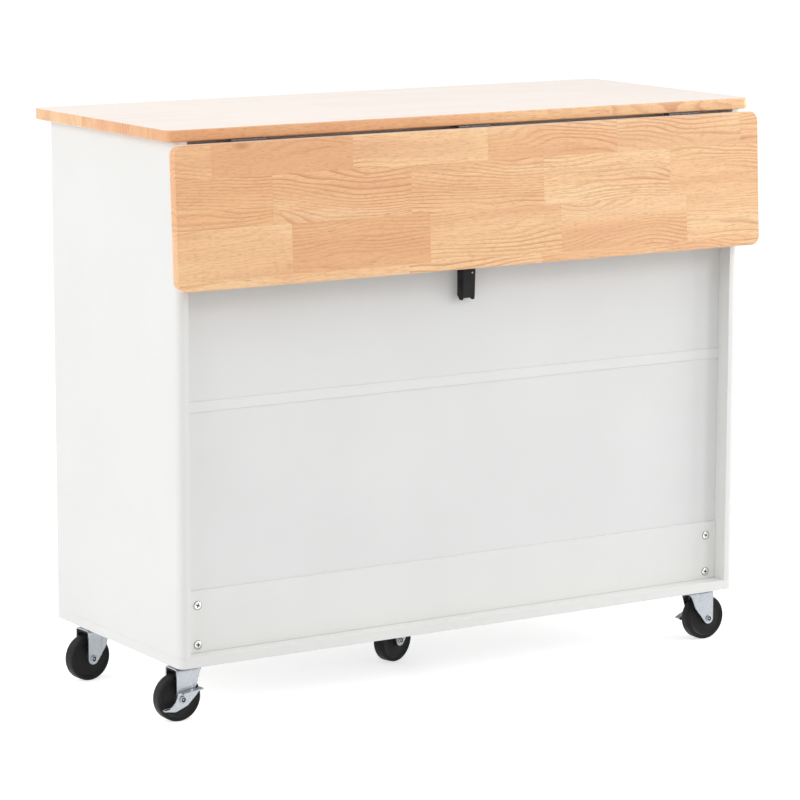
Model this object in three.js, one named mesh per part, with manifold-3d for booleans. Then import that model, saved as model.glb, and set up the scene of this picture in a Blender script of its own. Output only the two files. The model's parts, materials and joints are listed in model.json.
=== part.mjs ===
// Drop leaf kitchen island: a white board cabinet on five casters, with a solid wood countertop.
// At the back a wood leaf hangs on three butt hinges, over a folding steel support bracket.
// Millimetres. X runs along the cabinet, -Y is the leaf side, +Y the door side, +Z is up.
import * as THREE from 'three';
import { mergeVertices } from 'three/addons/utils/BufferGeometryUtils.js';
import Module from 'manifold-3d';

const wasm = await Module();
wasm.setup();

// ---------------------------------------------------------------- Driving dimensions

// Whole cabinet
const TOTAL_HEIGHT = 920; // floor to the countertop's surface
const CABINET_LENGTH = 1060; // over the side panels
const CABINET_DEPTH = 410; // rear edge to front edge of the side panels
const CASTER_HEIGHT = 94; // floor to the underside of the bottom board

// Boards
const SIDE_THICKNESS = 19;
const BOTTOM_THICKNESS = 16;
const DIVIDER_THICKNESS = 15;
const SHELF_THICKNESS = 15;
const STRETCHER_THICKNESS = 15;
const STRETCHER_DEPTH = 80;
const REAR_CORNER_RADIUS = 12; // rounded rear edges of the side panels and the bottom board
const SHELF_FRONT_SETBACK = 25; // shelf edge behind the front edge of the side panels
const SHELF_REAR_GAP = 2;
const SHELF_HEIGHT = 297; // bottom board to the underside of the shelf

// Back: two thin panels, the strip that joins them, and the rail under them
const BACK_RECESS = 28.5; // panels behind the rear edge of the side panels
const BACK_THICKNESS = 3;
const BACK_RAIL_RECESS = 25.4;
const BACK_RAIL_THICKNESS = 15;
const BACK_RAIL_HEIGHT = 98;
const GROOVE_DEPTH = 5;
const GROOVE_CLEARANCE = 0.15;
const JOINER_BASE = 375.5; // bottom board to the underside of the joiner strip
const JOINER_HEIGHT = 16.4;
const JOINER_WALL = 1.2;

// Countertop and drop leaf
const TOP_THICKNESS = 18;
const TOP_END_OVERHANG = 15.5;
const TOP_REAR_OVERHANG = 1.5;
const TOP_FRONT_OVERHANG = 33;
const TOP_CORNER_RADIUS = 13;
const LEAF_WIDTH = 219.5;
const LEAF_CORNER_RADIUS = 15;
const LEAF_JOINT = 2.5; // gap between leaf and countertop when the leaf is up
const LEAF_LEAN = 3; // degrees that the hanging leaf leans out from vertical
const WOOD_EDGE = 1.5; // eased arris of countertop and leaf

// Leaf hinges
const HINGE_LENGTH = 60;
const HINGE_PLATE_WIDTH = 30;
const HINGE_PLATE_THICKNESS = 2;
const HINGE_END_INSET = 122; // outer hinges' middle from the end of the cabinet
const HINGE_PIN_DROP = 2.5; // pin centre below the wood's underside
const HINGE_KNUCKLE_RADIUS = 2.5;
const HINGE_PIN_RADIUS = 1.2;

// Folding support bracket
const BRACKET_OFFSET = 2; // bracket's middle from the cabinet's middle
const BRACKET_WIDTH = 23;
const BRACKET_DEPTH = 22.5; // stands out from the back panel
const BRACKET_STEEL = 1.9;
const BRACKET_LENGTH = 273.5;
const BRACKET_NOSE = 46; // closed front at the channel's lower end
const BRACKET_NOSE_RISE = 3.5; // the front ends this far above the side flanges
const BRACKET_NOSE_DEPTH = 17.8; // the channel stands out less along the nose
const BRACKET_FOOT_DEPTH = 15.8; // and less still at its foot
const BRACKET_STEP = 9; // height over which it narrows above the nose
const BRACKET_FOOT_CHAMFER = 7; // cut off the flanges' rear lower corners
const ARM_LENGTH = 200;
const ARM_FACE = 9.5; // pivot centre to the arm's outer face
const ARM_BACK = 6; // pivot centre to the arm's inner edge
const ARM_EAR_RADIUS = 8;
const ARM_HEADROOM = 0.5; // raised arm below the hinge's knuckles
const ARM_STEEL = 1.8;
const ARM_PAD_LENGTH = 14;
const ARM_PAD_WIDTH = 12;
const ARM_PIN_RADIUS = 3;
const STRUT_REACH = 72; // arm pivot to the pin that carries the strut
const STRUT_LENGTH = 100;
const STRUT_STEEL = 1.6;
const STRUT_PIN_RADIUS = 2.2;
const STRUT_HEEL_RADIUS = 3.4;
const STRUT_HEAD_RADIUS = 5;

// Casters
const WHEEL_DIAMETER = 75;
const WHEEL_TREAD = 20;
const WHEEL_HUB_RADIUS = 10;
const WHEEL_RIM_RADIUS = 30;
const WHEEL_DISH = 1.2;
const WHEEL_SHOULDER = 3.5;
const AXLE_RADIUS = 4;
const AXLE_NUT_RADIUS = 6.4;
const AXLE_NUT_THICKNESS = 3.2;
const FORK_WIDTH = 36;
const FORK_STEEL = 2.2;
const FORK_EAR_RADIUS = 9.4;
const FORK_CROWN_HEIGHT = 85;
const FORK_LEAD_HEIGHT = 73; // lower edge of the fork's rounded leading side
const CASTER_TRAIL = 24; // axle behind the swivel axis
const CASTER_END_INSET = 46.5; // swivel axis from the end of the cabinet
const CASTER_SIDE_INSET = 54; // swivel axis from the rear and front of the cabinet
const FRONT_LEFT_SWIVEL = 7; // degrees, as this caster stands
const CENTER_SWIVEL = 17; // degrees, as this caster stands
const PLATE_SIZE = 60;
const PLATE_THICKNESS = 2.5;
const PLATE_HOLE_RADIUS = 2.6;
const PLATE_HOLE_INSET = 8;
const BEARING_RADIUS = 17.5;
const BEARING_WALL = 2.1;
const KINGPIN_RADIUS = 4.3;
const KINGPIN_HEAD_RADIUS = 7.5;
const KINGPIN_HEAD_THICKNESS = 3;

// Side brake levers
const LEVER_STEEL = 2.2;
const LEVER_PEDAL_REACH = 33; // axle to the end of the pedal
const LEVER_HEEL_REACH = 35.5; // axle to the other end
const LEVER_PEDAL_WIDTH = 10;
const LEVER_HEEL_WIDTH = 6;
const LEVER_PEDAL_RISE = 12; // axle to the pedal's tread
const LEVER_HEEL_DROP = 9; // axle to the middle of the heel
const LEVER_UP = 8; // degrees, pedal raised
const LEVER_DOWN = -25; // degrees, pedal pressed

// Doors, drawers and their handles
const FRONT_THICKNESS = 15;
const FRONT_GAP = 2;
const FRONT_EDGE = 1;
const DRAWER_FRONT_HEIGHT = 150;
const DRAWER_BOX_HEIGHT = 110;
const DRAWER_BOX_LIFT = 16; // box above the lower edge of the drawer front
const DRAWER_BOX_REAR_GAP = 18; // box ahead of the back panels
const DRAWER_WALL = 12;
const DRAWER_BOTTOM = 6;
const RUNNER_THICKNESS = 12.5;
const RUNNER_HEIGHT = 32;
const RUNNER_CLEARANCE = 0.5;
const TONGUE_HEIGHT = 12;
const TONGUE_DEPTH = 5;
const DOOR_HINGE_LENGTH = 50;
const DOOR_HINGE_INSET = 70; // hinge middle from the door's upper and lower edges
const DOOR_HINGE_PLATE = 1.6;
const DOOR_KNUCKLE_RADIUS = 2.5;
const HANDLE_SPAN = 128;
const HANDLE_STANDOFF = 24;
const HANDLE_BAR_RADIUS = 5;
const HANDLE_POST_RADIUS = 4;
const HANDLE_OVERRUN = 14;
const DOOR_HANDLE_INSET = 32; // handle from the door's free edge
const DOOR_HANDLE_DROP = 50; // handle's upper end below the door's upper edge

// Clearances and facets
const FIT = 0.3; // running gap between pieces that move, and round notches
const FACET_DEPTH = 0.2; // a facet lies at most this far inside its arc
const TURNED_SIDES = 20;
const WHEEL_SIDES = 26;

// ---------------------------------------------------------------- Places that follow from them

const sideX = CABINET_LENGTH / 2;
const innerX = sideX - SIDE_THICKNESS;
const dividerX = DIVIDER_THICKNESS / 2;
const boardZ = CASTER_HEIGHT + BOTTOM_THICKNESS;
const underTopZ = TOTAL_HEIGHT - TOP_THICKNESS;
const stretcherZ = underTopZ - STRETCHER_THICKNESS;
const panelFrontY = BACK_RECESS + BACK_THICKNESS;
const railFrontY = BACK_RAIL_RECESS + BACK_RAIL_THICKNESS;
const railTopZ = boardZ + BACK_RAIL_HEIGHT;
const joinerZ = boardZ + JOINER_BASE;
const joinerTopZ = joinerZ + JOINER_HEIGHT;
const joinerFrontY = panelFrontY + GROOVE_CLEARANCE + JOINER_WALL;
const shelfZ = boardZ + SHELF_HEIGHT;
const frontY = CABINET_DEPTH - FRONT_THICKNESS;
const topX = sideX + TOP_END_OVERHANG;
const rearCornerRadius = Math.min(REAR_CORNER_RADIUS, SIDE_THICKNESS * 0.9);
const drawerZ = stretcherZ - FRONT_GAP - DRAWER_FRONT_HEIGHT;
const doorZ = boardZ + FRONT_GAP;
const doorTopZ = drawerZ - FRONT_GAP;

// The leaf's pin lies in the joint, under the wood
const pinY = -TOP_REAR_OVERHANG - LEAF_JOINT / 2;
const pinZ = underTopZ - HINGE_PIN_DROP;

// The bracket's pivot sits under the middle hinge. Folded, the arm leans on the leaf's lean.
const channelFrontY = BACK_RECESS - BRACKET_DEPTH;
const pivotY = channelFrontY + ARM_FACE;
const pivotZ = pinZ - HINGE_KNUCKLE_RADIUS - ARM_HEADROOM - ARM_FACE;
const padHeight = underTopZ - FIT - (pivotZ + ARM_FACE);
const lean = THREE.MathUtils.degToRad(LEAF_LEAN);
const pivotToLeaf =
  (pivotY - pinY) * Math.cos(lean) - (pivotZ - pinZ) * Math.sin(lean) + HINGE_PIN_DROP;
const padTip = ARM_FACE + padHeight;
const armFolded =
  lean +
  Math.asin((pivotToLeaf - FIT) / Math.hypot(ARM_LENGTH, padTip)) -
  Math.atan2(padTip, ARM_LENGTH);
const slotY = BACK_RECESS - BRACKET_STEEL - STRUT_HEEL_RADIUS - FIT;
const strutFolded = Math.asin((STRUT_REACH * Math.sin(armFolded) + slotY - pivotY) / STRUT_LENGTH);
const strutRaised = Math.asin((STRUT_REACH + slotY - pivotY) / STRUT_LENGTH);

// ---------------------------------------------------------------- Materials

const finish = (color, roughness, metalness) =>
  new THREE.MeshStandardMaterial({ color, roughness, metalness, flatShading: true });

const whiteBoard = () => finish(0xf1f1ee, 0.45, 0);
const whitePanel = () => finish(0xe4e5e4, 0.5, 0);
const wood = () => finish(0xe3b78a, 0.5, 0);
const zinc = () => finish(0xc6ccd2, 0.35, 1);
const nickel = () => finish(0xb9b8b2, 0.3, 1);
const blackSteel = () => finish(0x1d1d1e, 0.5, 0.4);
const blackRubber = () => finish(0x222223, 0.6, 0);
const runnerPlastic = () => finish(0xf4f4f2, 0.4, 0);

// ---------------------------------------------------------------- Shapes and solids

/** Angle of one facet on an arc of this radius. */
const facetAngle = (radius) => 2 * Math.acos(1 - FACET_DEPTH / radius);

/** Points along an arc between two angles in radians, both ends included. */
function arc(u, v, radius, from, to) {
  const steps = Math.max(2, Math.ceil(Math.abs(to - from) / facetAngle(radius)));
  const curve = new THREE.EllipseCurve(u, v, radius, radius, from, to, to < from);
  return curve.getPoints(steps);
}

/** Closed outline through corners [u, v, radius]; a radius rounds its corner with an arc. */
function outline(corners) {
  const count = corners.length;
  const points = corners.flatMap(([u, v, radius = 0], index) => {
    const corner = new THREE.Vector2(u, v);
    if (radius === 0) return [corner];
    const [backU, backV] = corners[(index + count - 1) % count];
    const [nextU, nextV] = corners[(index + 1) % count];
    const back = new THREE.Vector2(backU, backV).sub(corner).normalize();
    const ahead = new THREE.Vector2(nextU, nextV).sub(corner).normalize();
    const half = Math.acos(THREE.MathUtils.clamp(back.dot(ahead), -1, 1)) / 2;
    const inward = back.clone().add(ahead).normalize();
    const centre = corner.clone().addScaledVector(inward, radius / Math.sin(half));
    const start = corner.clone().addScaledVector(back, radius / Math.tan(half)).sub(centre);
    const turn = (Math.PI - 2 * half) * (back.cross(ahead) > 0 ? -1 : 1);
    return arc(centre.x, centre.y, radius, start.angle(), start.angle() + turn);
  });
  return new THREE.Shape(points);
}

/** Rectangle with the same corner radius all round. */
const rectangle = (u0, u1, v0, v1, radius = 0) =>
  outline([
    [u0, v0, radius],
    [u1, v0, radius],
    [u1, v1, radius],
    [u0, v1, radius],
  ]);

/** Turns a local frame so that its Z runs along the named axis. */
const TURN = {
  // outline in (Y, Z)
  x: new THREE.Matrix4().makeBasis(
    new THREE.Vector3(0, 1, 0),
    new THREE.Vector3(0, 0, 1),
    new THREE.Vector3(1, 0, 0),
  ),
  // outline in (X, Z), drawn towards -Y
  y: new THREE.Matrix4().makeBasis(
    new THREE.Vector3(1, 0, 0),
    new THREE.Vector3(0, 0, 1),
    new THREE.Vector3(0, -1, 0),
  ),
  // outline in (X, Y)
  z: new THREE.Matrix4(),
};

/** Outline extruded along an axis between two stations, with its arrises eased if asked. */
function prism(axis, shape, from, to, ease = 0) {
  const geometry = new THREE.ExtrudeGeometry(shape, {
    depth: to - from - 2 * ease,
    bevelEnabled: ease > 0,
    bevelThickness: ease,
    bevelSize: ease,
    bevelOffset: -ease,
    bevelSegments: 1,
  });
  geometry.translate(0, 0, (axis === 'y' ? -to : from) + ease);
  return geometry.applyMatrix4(TURN[axis]);
}

/** Box between two corners. */
function block([x0, y0, z0], [x1, y1, z1]) {
  const geometry = new THREE.BoxGeometry(x1 - x0, y1 - y0, z1 - z0);
  return geometry.translate((x0 + x1) / 2, (y0 + y1) / 2, (z0 + z1) / 2);
}

/** Even number of sides that suits a round bar. */
const roundSides = (radius) => Math.max(8, 2 * Math.ceil(Math.PI / facetAngle(radius)));

/** Round bar along an axis; place holds its other two coordinates in X, Y, Z order. */
function rod(axis, radius, from, to, place = [0, 0], sides = roundSides(radius)) {
  const geometry = new THREE.CylinderGeometry(radius, radius, to - from, sides);
  const middle = (from + to) / 2;
  if (axis === 'x') {
    return geometry.rotateZ(-Math.PI / 2).translate(middle, place[0], place[1]);
  }
  if (axis === 'y') return geometry.translate(place[0], middle, place[1]);
  return geometry.rotateX(Math.PI / 2).translate(place[0], place[1], middle);
}

/** Profile [radius, height], drawn anticlockwise, turned about the Z axis. */
function turned(profile, sides = TURNED_SIDES) {
  const points = profile.map(([radius, height]) => new THREE.Vector2(radius, height));
  return new THREE.LatheGeometry(points, sides).rotateX(Math.PI / 2);
}

/** Bare indexed mesh with its seams welded and its collapsed triangles left out. */
function welded(geometry) {
  const bare = new THREE.BufferGeometry();
  bare.setAttribute('position', geometry.getAttribute('position').clone());
  if (geometry.index) bare.setIndex(geometry.index.clone());
  const merged = mergeVertices(bare, 1e-4);
  const kept = [];
  for (let i = 0; i < merged.index.count; i += 3) {
    const face = [0, 1, 2].map((corner) => merged.index.getX(i + corner));
    if (new Set(face).size === 3) kept.push(...face);
  }
  merged.setIndex(kept);
  return merged;
}

function toManifold(geometry) {
  const mesh = welded(geometry);
  return new wasm.Manifold(
    new wasm.Mesh({
      numProp: 3,
      vertProperties: new Float32Array(mesh.getAttribute('position').array),
      triVerts: new Uint32Array(mesh.index.array),
    }),
  );
}

function fromManifold(solid) {
  const { vertProperties, triVerts } = solid.getMesh();
  const geometry = new THREE.BufferGeometry();
  geometry.setAttribute('position', new THREE.BufferAttribute(vertProperties, 3));
  geometry.setIndex(new THREE.BufferAttribute(triVerts, 1));
  return geometry;
}

const combine = (method, first, others) =>
  fromManifold(others.reduce((solid, other) => solid[method](toManifold(other)), toManifold(first)));
const joined = (first, ...others) => combine('add', first, others);
const cut = (first, ...tools) => combine('subtract', first, tools);
const shared = (first, ...others) => combine('intersect', first, others);

// ---------------------------------------------------------------- Assembly helpers

const island = new THREE.Group();

/** Adds one named piece to the island, or to a turned group of it. */
function piece(name, geometry, material, parent = island) {
  const bare = welded(geometry);
  bare.computeVertexNormals();
  const mesh = new THREE.Mesh(bare, material);
  mesh.name = name;
  parent.add(mesh);
}

function turnedGroup(position, rotation, parent = island) {
  const group = new THREE.Group();
  group.position.set(...position);
  group.rotation.set(...rotation);
  parent.add(group);
  return group;
}

const SIDES = [
  ['left', -1],
  ['right', 1],
];

// ---------------------------------------------------------------- Carcass

function bottomBoard() {
  const plan = outline([
    [-sideX, 0, rearCornerRadius],
    [sideX, 0, rearCornerRadius],
    [sideX, CABINET_DEPTH],
    [-sideX, CABINET_DEPTH],
  ]);
  piece('bottom_board', prism('z', plan, CASTER_HEIGHT, boardZ), whiteBoard());
}

/** Side panel with a rounded rear edge and the groove that holds the back panels. */
function sidePanel(name, side) {
  const grooveX = innerX + GROOVE_DEPTH;
  const plan = outline([
    [side * innerX, 0],
    [side * sideX, 0, rearCornerRadius],
    [side * sideX, CABINET_DEPTH],
    [side * innerX, CABINET_DEPTH],
    [side * innerX, panelFrontY + GROOVE_CLEARANCE],
    [side * grooveX, panelFrontY + GROOVE_CLEARANCE],
    [side * grooveX, BACK_RECESS - GROOVE_CLEARANCE],
    [side * innerX, BACK_RECESS - GROOVE_CLEARANCE],
  ]);
  piece(`${name}_side_panel`, prism('z', plan, boardZ, underTopZ), whiteBoard());
}

/** Upright between the two bays, notched round the stretchers, the joiner and the back rail. */
function centerDivider() {
  const frontNotchY = CABINET_DEPTH - STRETCHER_DEPTH - FIT;
  const rearNotchY = panelFrontY + STRETCHER_DEPTH + FIT;
  const profile = outline([
    [railFrontY + FIT, boardZ],
    [CABINET_DEPTH, boardZ],
    [CABINET_DEPTH, stretcherZ],
    [frontNotchY, stretcherZ],
    [frontNotchY, underTopZ],
    [rearNotchY, underTopZ],
    [rearNotchY, stretcherZ],
    [panelFrontY, stretcherZ],
    [panelFrontY, joinerTopZ + FIT],
    [joinerFrontY + FIT, joinerTopZ + FIT],
    [joinerFrontY + FIT, joinerZ - FIT],
    [panelFrontY, joinerZ - FIT],
    [panelFrontY, railTopZ + FIT],
    [railFrontY + FIT, railTopZ + FIT],
  ]);
  piece('center_divider', prism('x', profile, -dividerX, dividerX), whiteBoard());
}

function stretchers() {
  const rear = rectangle(panelFrontY, panelFrontY + STRETCHER_DEPTH, stretcherZ, underTopZ);
  const front = rectangle(CABINET_DEPTH - STRETCHER_DEPTH, CABINET_DEPTH, stretcherZ, underTopZ);
  piece('top_rear_stretcher', prism('x', rear, -innerX, innerX), whiteBoard());
  piece('top_front_stretcher', prism('x', front, -innerX, innerX), whiteBoard());
}

/** Bottom rail across the back; the lower back panel stands in the groove along its top. */
function backRail() {
  const grooveZ = railTopZ - GROOVE_DEPTH - GROOVE_CLEARANCE;
  const profile = outline([
    [BACK_RAIL_RECESS, boardZ],
    [railFrontY, boardZ],
    [railFrontY, railTopZ],
    [panelFrontY + GROOVE_CLEARANCE, railTopZ],
    [panelFrontY + GROOVE_CLEARANCE, grooveZ],
    [BACK_RECESS - GROOVE_CLEARANCE, grooveZ],
    [BACK_RECESS - GROOVE_CLEARANCE, railTopZ],
    [BACK_RAIL_RECESS, railTopZ],
  ]);
  piece('back_bottom_rail', prism('x', profile, -innerX, innerX), whiteBoard());
}

/** Two thin panels in the side grooves, joined by a strip of H section. */
function backPanels() {
  const reachX = innerX + GROOVE_DEPTH - GROOVE_CLEARANCE;
  const webZ = joinerZ + JOINER_HEIGHT / 2;
  const panel = (z0, z1) => block([-reachX, BACK_RECESS, z0], [reachX, panelFrontY, z1]);
  const lowerTop = webZ - JOINER_WALL / 2 - GROOVE_CLEARANCE;
  const upperBase = webZ + JOINER_WALL / 2 + GROOVE_CLEARANCE;
  piece('lower_back_panel', panel(railTopZ - GROOVE_DEPTH, lowerTop), whitePanel());
  piece('upper_back_panel', panel(upperBase, underTopZ - FIT), whitePanel());

  const slotRearY = BACK_RECESS - GROOVE_CLEARANCE;
  const slotFrontY = panelFrontY + GROOVE_CLEARANCE;
  const profile = outline([
    [slotRearY - JOINER_WALL, joinerZ],
    [slotRearY, joinerZ],
    [slotRearY, webZ - JOINER_WALL / 2],
    [slotFrontY, webZ - JOINER_WALL / 2],
    [slotFrontY, joinerZ],
    [joinerFrontY, joinerZ],
    [joinerFrontY, joinerTopZ],
    [slotFrontY, joinerTopZ],
    [slotFrontY, webZ + JOINER_WALL / 2],
    [slotRearY, webZ + JOINER_WALL / 2],
    [slotRearY, joinerTopZ],
    [slotRearY - JOINER_WALL, joinerTopZ],
  ]);
  piece('back_joiner_strip', prism('x', profile, -innerX, innerX), whiteBoard());
}

function shelf(name, side) {
  const inner = side * dividerX;
  const outer = side * innerX;
  const plan = rectangle(
    Math.min(inner, outer),
    Math.max(inner, outer),
    panelFrontY + SHELF_REAR_GAP,
    CABINET_DEPTH - SHELF_FRONT_SETBACK,
  );
  piece(`${name}_shelf`, prism('z', plan, shelfZ, shelfZ + SHELF_THICKNESS), whiteBoard());
}

// ---------------------------------------------------------------- Countertop, leaf and hinges

function countertop() {
  const frontEdge = CABINET_DEPTH + TOP_FRONT_OVERHANG;
  const plan = rectangle(-topX, topX, -TOP_REAR_OVERHANG, frontEdge, TOP_CORNER_RADIUS);
  piece('countertop', prism('z', plan, underTopZ, TOTAL_HEIGHT, WOOD_EDGE), wood());
}

/** Stations of the hinge's five knuckles: even ones belong to the fixed plate. */
function knuckleStations(first) {
  const step = HINGE_LENGTH / 5;
  const stations = [];
  for (let index = first; index < 5; index += 2) {
    const start = -HINGE_LENGTH / 2 + index * step;
    const trimStart = index === 0 ? 0 : FIT / 2;
    const trimEnd = index === 4 ? 0 : FIT / 2;
    stations.push([start + trimStart, start + step - trimEnd]);
  }
  return stations;
}

/** One half of a butt hinge in the pin's frame: a plate under faceZ, its links and knuckles. */
function hingeHalf(x, side, faceZ, first) {
  const plateStart = HINGE_KNUCKLE_RADIUS + FIT;
  const slab = (x0, x1, near, far) => {
    const [y0, y1] = [side * near, side * far].sort((a, b) => a - b);
    return block([x + x0, y0, faceZ - HINGE_PLATE_THICKNESS], [x + x1, y1, faceZ]);
  };
  let half = slab(-HINGE_LENGTH / 2, HINGE_LENGTH / 2, plateStart, HINGE_PLATE_WIDTH);
  for (const [from, to] of knuckleStations(first)) {
    const knuckle = rod('x', HINGE_KNUCKLE_RADIUS, x + from, x + to);
    half = joined(half, slab(from, to, 0, plateStart + FIT), knuckle);
  }
  return half;
}

/** Fixed half, under the countertop, with the pin. */
function hingeTopPlate(x) {
  const pin = rod('x', HINGE_PIN_RADIUS, x - HINGE_LENGTH / 2, x + HINGE_LENGTH / 2);
  return joined(hingeHalf(x, 1, HINGE_PIN_DROP, 0), pin);
}

/** Moving half, under the leaf, bored for the pin. */
function hingeLeafPlate(x) {
  const bore = rod('x', HINGE_PIN_RADIUS + FIT, x - HINGE_LENGTH, x + HINGE_LENGTH);
  return cut(hingeHalf(x, -1, HINGE_PIN_DROP - FIT, 1), bore);
}

/** The leaf and its hinge halves, drawn level about the pin and then let down. */
function dropLeaf() {
  const fixedFrame = turnedGroup([0, pinY, pinZ], [0, 0, 0]);
  const leafFrame = turnedGroup([0, pinY, pinZ], [Math.PI / 2 - lean, 0, 0]);
  const plan = rectangle(
    -topX,
    topX,
    -LEAF_JOINT / 2 - LEAF_WIDTH,
    -LEAF_JOINT / 2,
    LEAF_CORNER_RADIUS,
  );
  const upper = HINGE_PIN_DROP + TOP_THICKNESS;
  piece('drop_leaf', prism('z', plan, HINGE_PIN_DROP, upper, WOOD_EDGE), wood(), leafFrame);
  for (const [name, place] of [['left', -1], ['center', 0], ['right', 1]]) {
    const x = place * (sideX - HINGE_END_INSET);
    piece(`${name}_hinge_top_plate`, hingeTopPlate(x), zinc(), fixedFrame);
    piece(`${name}_hinge_leaf_plate`, hingeLeafPlate(x), zinc(), leafFrame);
  }
}

// ---------------------------------------------------------------- Folding support bracket

/** Where the strut's lower pin lies, from folded (0) to raised (1). */
function strutPin(progress) {
  const arm = THREE.MathUtils.lerp(armFolded, Math.PI / 2, progress);
  const strut = THREE.MathUtils.lerp(strutFolded, strutRaised, progress);
  return new THREE.Vector2(
    pivotY - STRUT_REACH * Math.sin(arm) + STRUT_LENGTH * Math.sin(strut),
    pivotZ - STRUT_REACH * Math.cos(arm) - STRUT_LENGTH * Math.cos(strut),
  );
}

/** Curved slot that follows the strut's lower pin, with round ends. */
function slotOutline(radius, steps = 10) {
  const path = Array.from({ length: steps + 1 }, (_, index) => strutPin(index / steps));
  const heading = path.map((_, index) => {
    const behind = path[Math.max(index - 1, 0)];
    const ahead = path[Math.min(index + 1, steps)];
    return ahead.clone().sub(behind).angle();
  });
  const quarter = Math.PI / 2;
  const rim = (index, angle) => {
    const offset = new THREE.Vector2(Math.cos(angle), Math.sin(angle)).multiplyScalar(radius);
    return path[index].clone().add(offset);
  };
  const side = (turn) => path.map((_, index) => rim(index, heading[index] + turn)).slice(1, -1);
  const cap = (index, from) =>
    arc(path[index].x, path[index].y, radius, from, from + Math.PI);
  return new THREE.Shape([
    ...side(-quarter),
    ...cap(steps, heading[steps] - quarter),
    ...side(quarter).reverse(),
    ...cap(0, heading[0] + quarter),
  ]);
}

/** Wall channel: open to the rear above, closed by a nose below, slotted for the strut's pin. */
function bracketChannel() {
  const half = BRACKET_WIDTH / 2;
  const inside = half - BRACKET_STEEL;
  const topZ = pivotZ + ARM_FACE;
  const baseZ = topZ - BRACKET_LENGTH;
  const noseZ = baseZ + BRACKET_NOSE_RISE;
  const noseTopZ = noseZ + BRACKET_NOSE;
  const noseTopY = BACK_RECESS - BRACKET_NOSE_DEPTH;
  const footY = BACK_RECESS - BRACKET_FOOT_DEPTH;
  const flank = outline([
    [footY, baseZ, 3.5],
    [BACK_RECESS - BRACKET_FOOT_CHAMFER, baseZ, 3],
    [BACK_RECESS, baseZ + BRACKET_FOOT_CHAMFER, 1],
    [BACK_RECESS, topZ],
    [channelFrontY, topZ, ARM_FACE * 0.9],
    [channelFrontY, noseTopZ + BRACKET_STEP, 2],
    [noseTopY, noseTopZ, 2],
  ]);
  const webY = BACK_RECESS - BRACKET_STEEL;
  const hollow = block([-inside, channelFrontY - 1, baseZ - 1], [inside, webY, topZ + 1]);
  const noseLowY = footY + ((noseTopY - footY) * BRACKET_NOSE_RISE) / (noseTopZ - baseZ);
  const nose = outline([
    [noseLowY, noseZ],
    [noseLowY + BRACKET_STEEL, noseZ],
    [noseTopY + BRACKET_STEEL, noseTopZ],
    [noseTopY, noseTopZ],
  ]);
  const slot = prism('x', slotOutline(STRUT_PIN_RADIUS + FIT), -half - 1, half + 1);
  const rivet = rod('x', ARM_PIN_RADIUS, -half - 1.5, half + 1.5, [pivotY, pivotZ]);
  const front = prism('x', nose, -half + 1, half - 1);
  const channel = joined(cut(prism('x', flank, -half, half), hollow), front);
  piece(
    'bracket_channel',
    joined(cut(channel, slot), rivet),
    blackSteel(),
    turnedGroup([BRACKET_OFFSET, 0, 0], [0, 0, 0]),
  );
}

/** Arm of U section, drawn level about its pivot, with a pressed pad that meets the leaf. */
function bracketArm() {
  const half = BRACKET_WIDTH / 2 - BRACKET_STEEL - FIT;
  const inside = half - ARM_STEEL;
  const flank = outline([
    [-ARM_LENGTH, -ARM_BACK, ARM_BACK],
    [ARM_EAR_RADIUS, -ARM_BACK, ARM_BACK * 0.9],
    [ARM_EAR_RADIUS, ARM_EAR_RADIUS, ARM_EAR_RADIUS * 0.9],
    [-ARM_EAR_RADIUS, ARM_EAR_RADIUS],
    [-ARM_EAR_RADIUS - ARM_STEEL, ARM_FACE],
    [-ARM_LENGTH, ARM_FACE, 1],
  ]);
  const webZ = ARM_FACE - ARM_STEEL;
  const pocket = block([-inside, -ARM_LENGTH - 1, -ARM_BACK - 1], [inside, ARM_FACE * 2, webZ]);
  const earGap = block([-inside, -ARM_EAR_RADIUS, webZ - 1], [inside, ARM_FACE * 2, ARM_FACE * 2]);
  const pivotHole = rod('x', ARM_PIN_RADIUS + FIT, -half - 1, half + 1);
  const pad = block(
    [-ARM_PAD_WIDTH / 2, -ARM_LENGTH, webZ],
    [ARM_PAD_WIDTH / 2, -ARM_LENGTH + ARM_PAD_LENGTH, ARM_FACE + padHeight],
  );
  const strutPinBar = rod('x', STRUT_PIN_RADIUS, -half, half, [-STRUT_REACH, 0]);
  const arm = cut(prism('x', flank, -half, half), pocket, earGap, pivotHole);
  const frame = turnedGroup([BRACKET_OFFSET, pivotY, pivotZ], [Math.PI / 2 - armFolded, 0, 0]);
  piece('bracket_arm', joined(arm, pad, strutPinBar), blackSteel(), frame);
}

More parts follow.
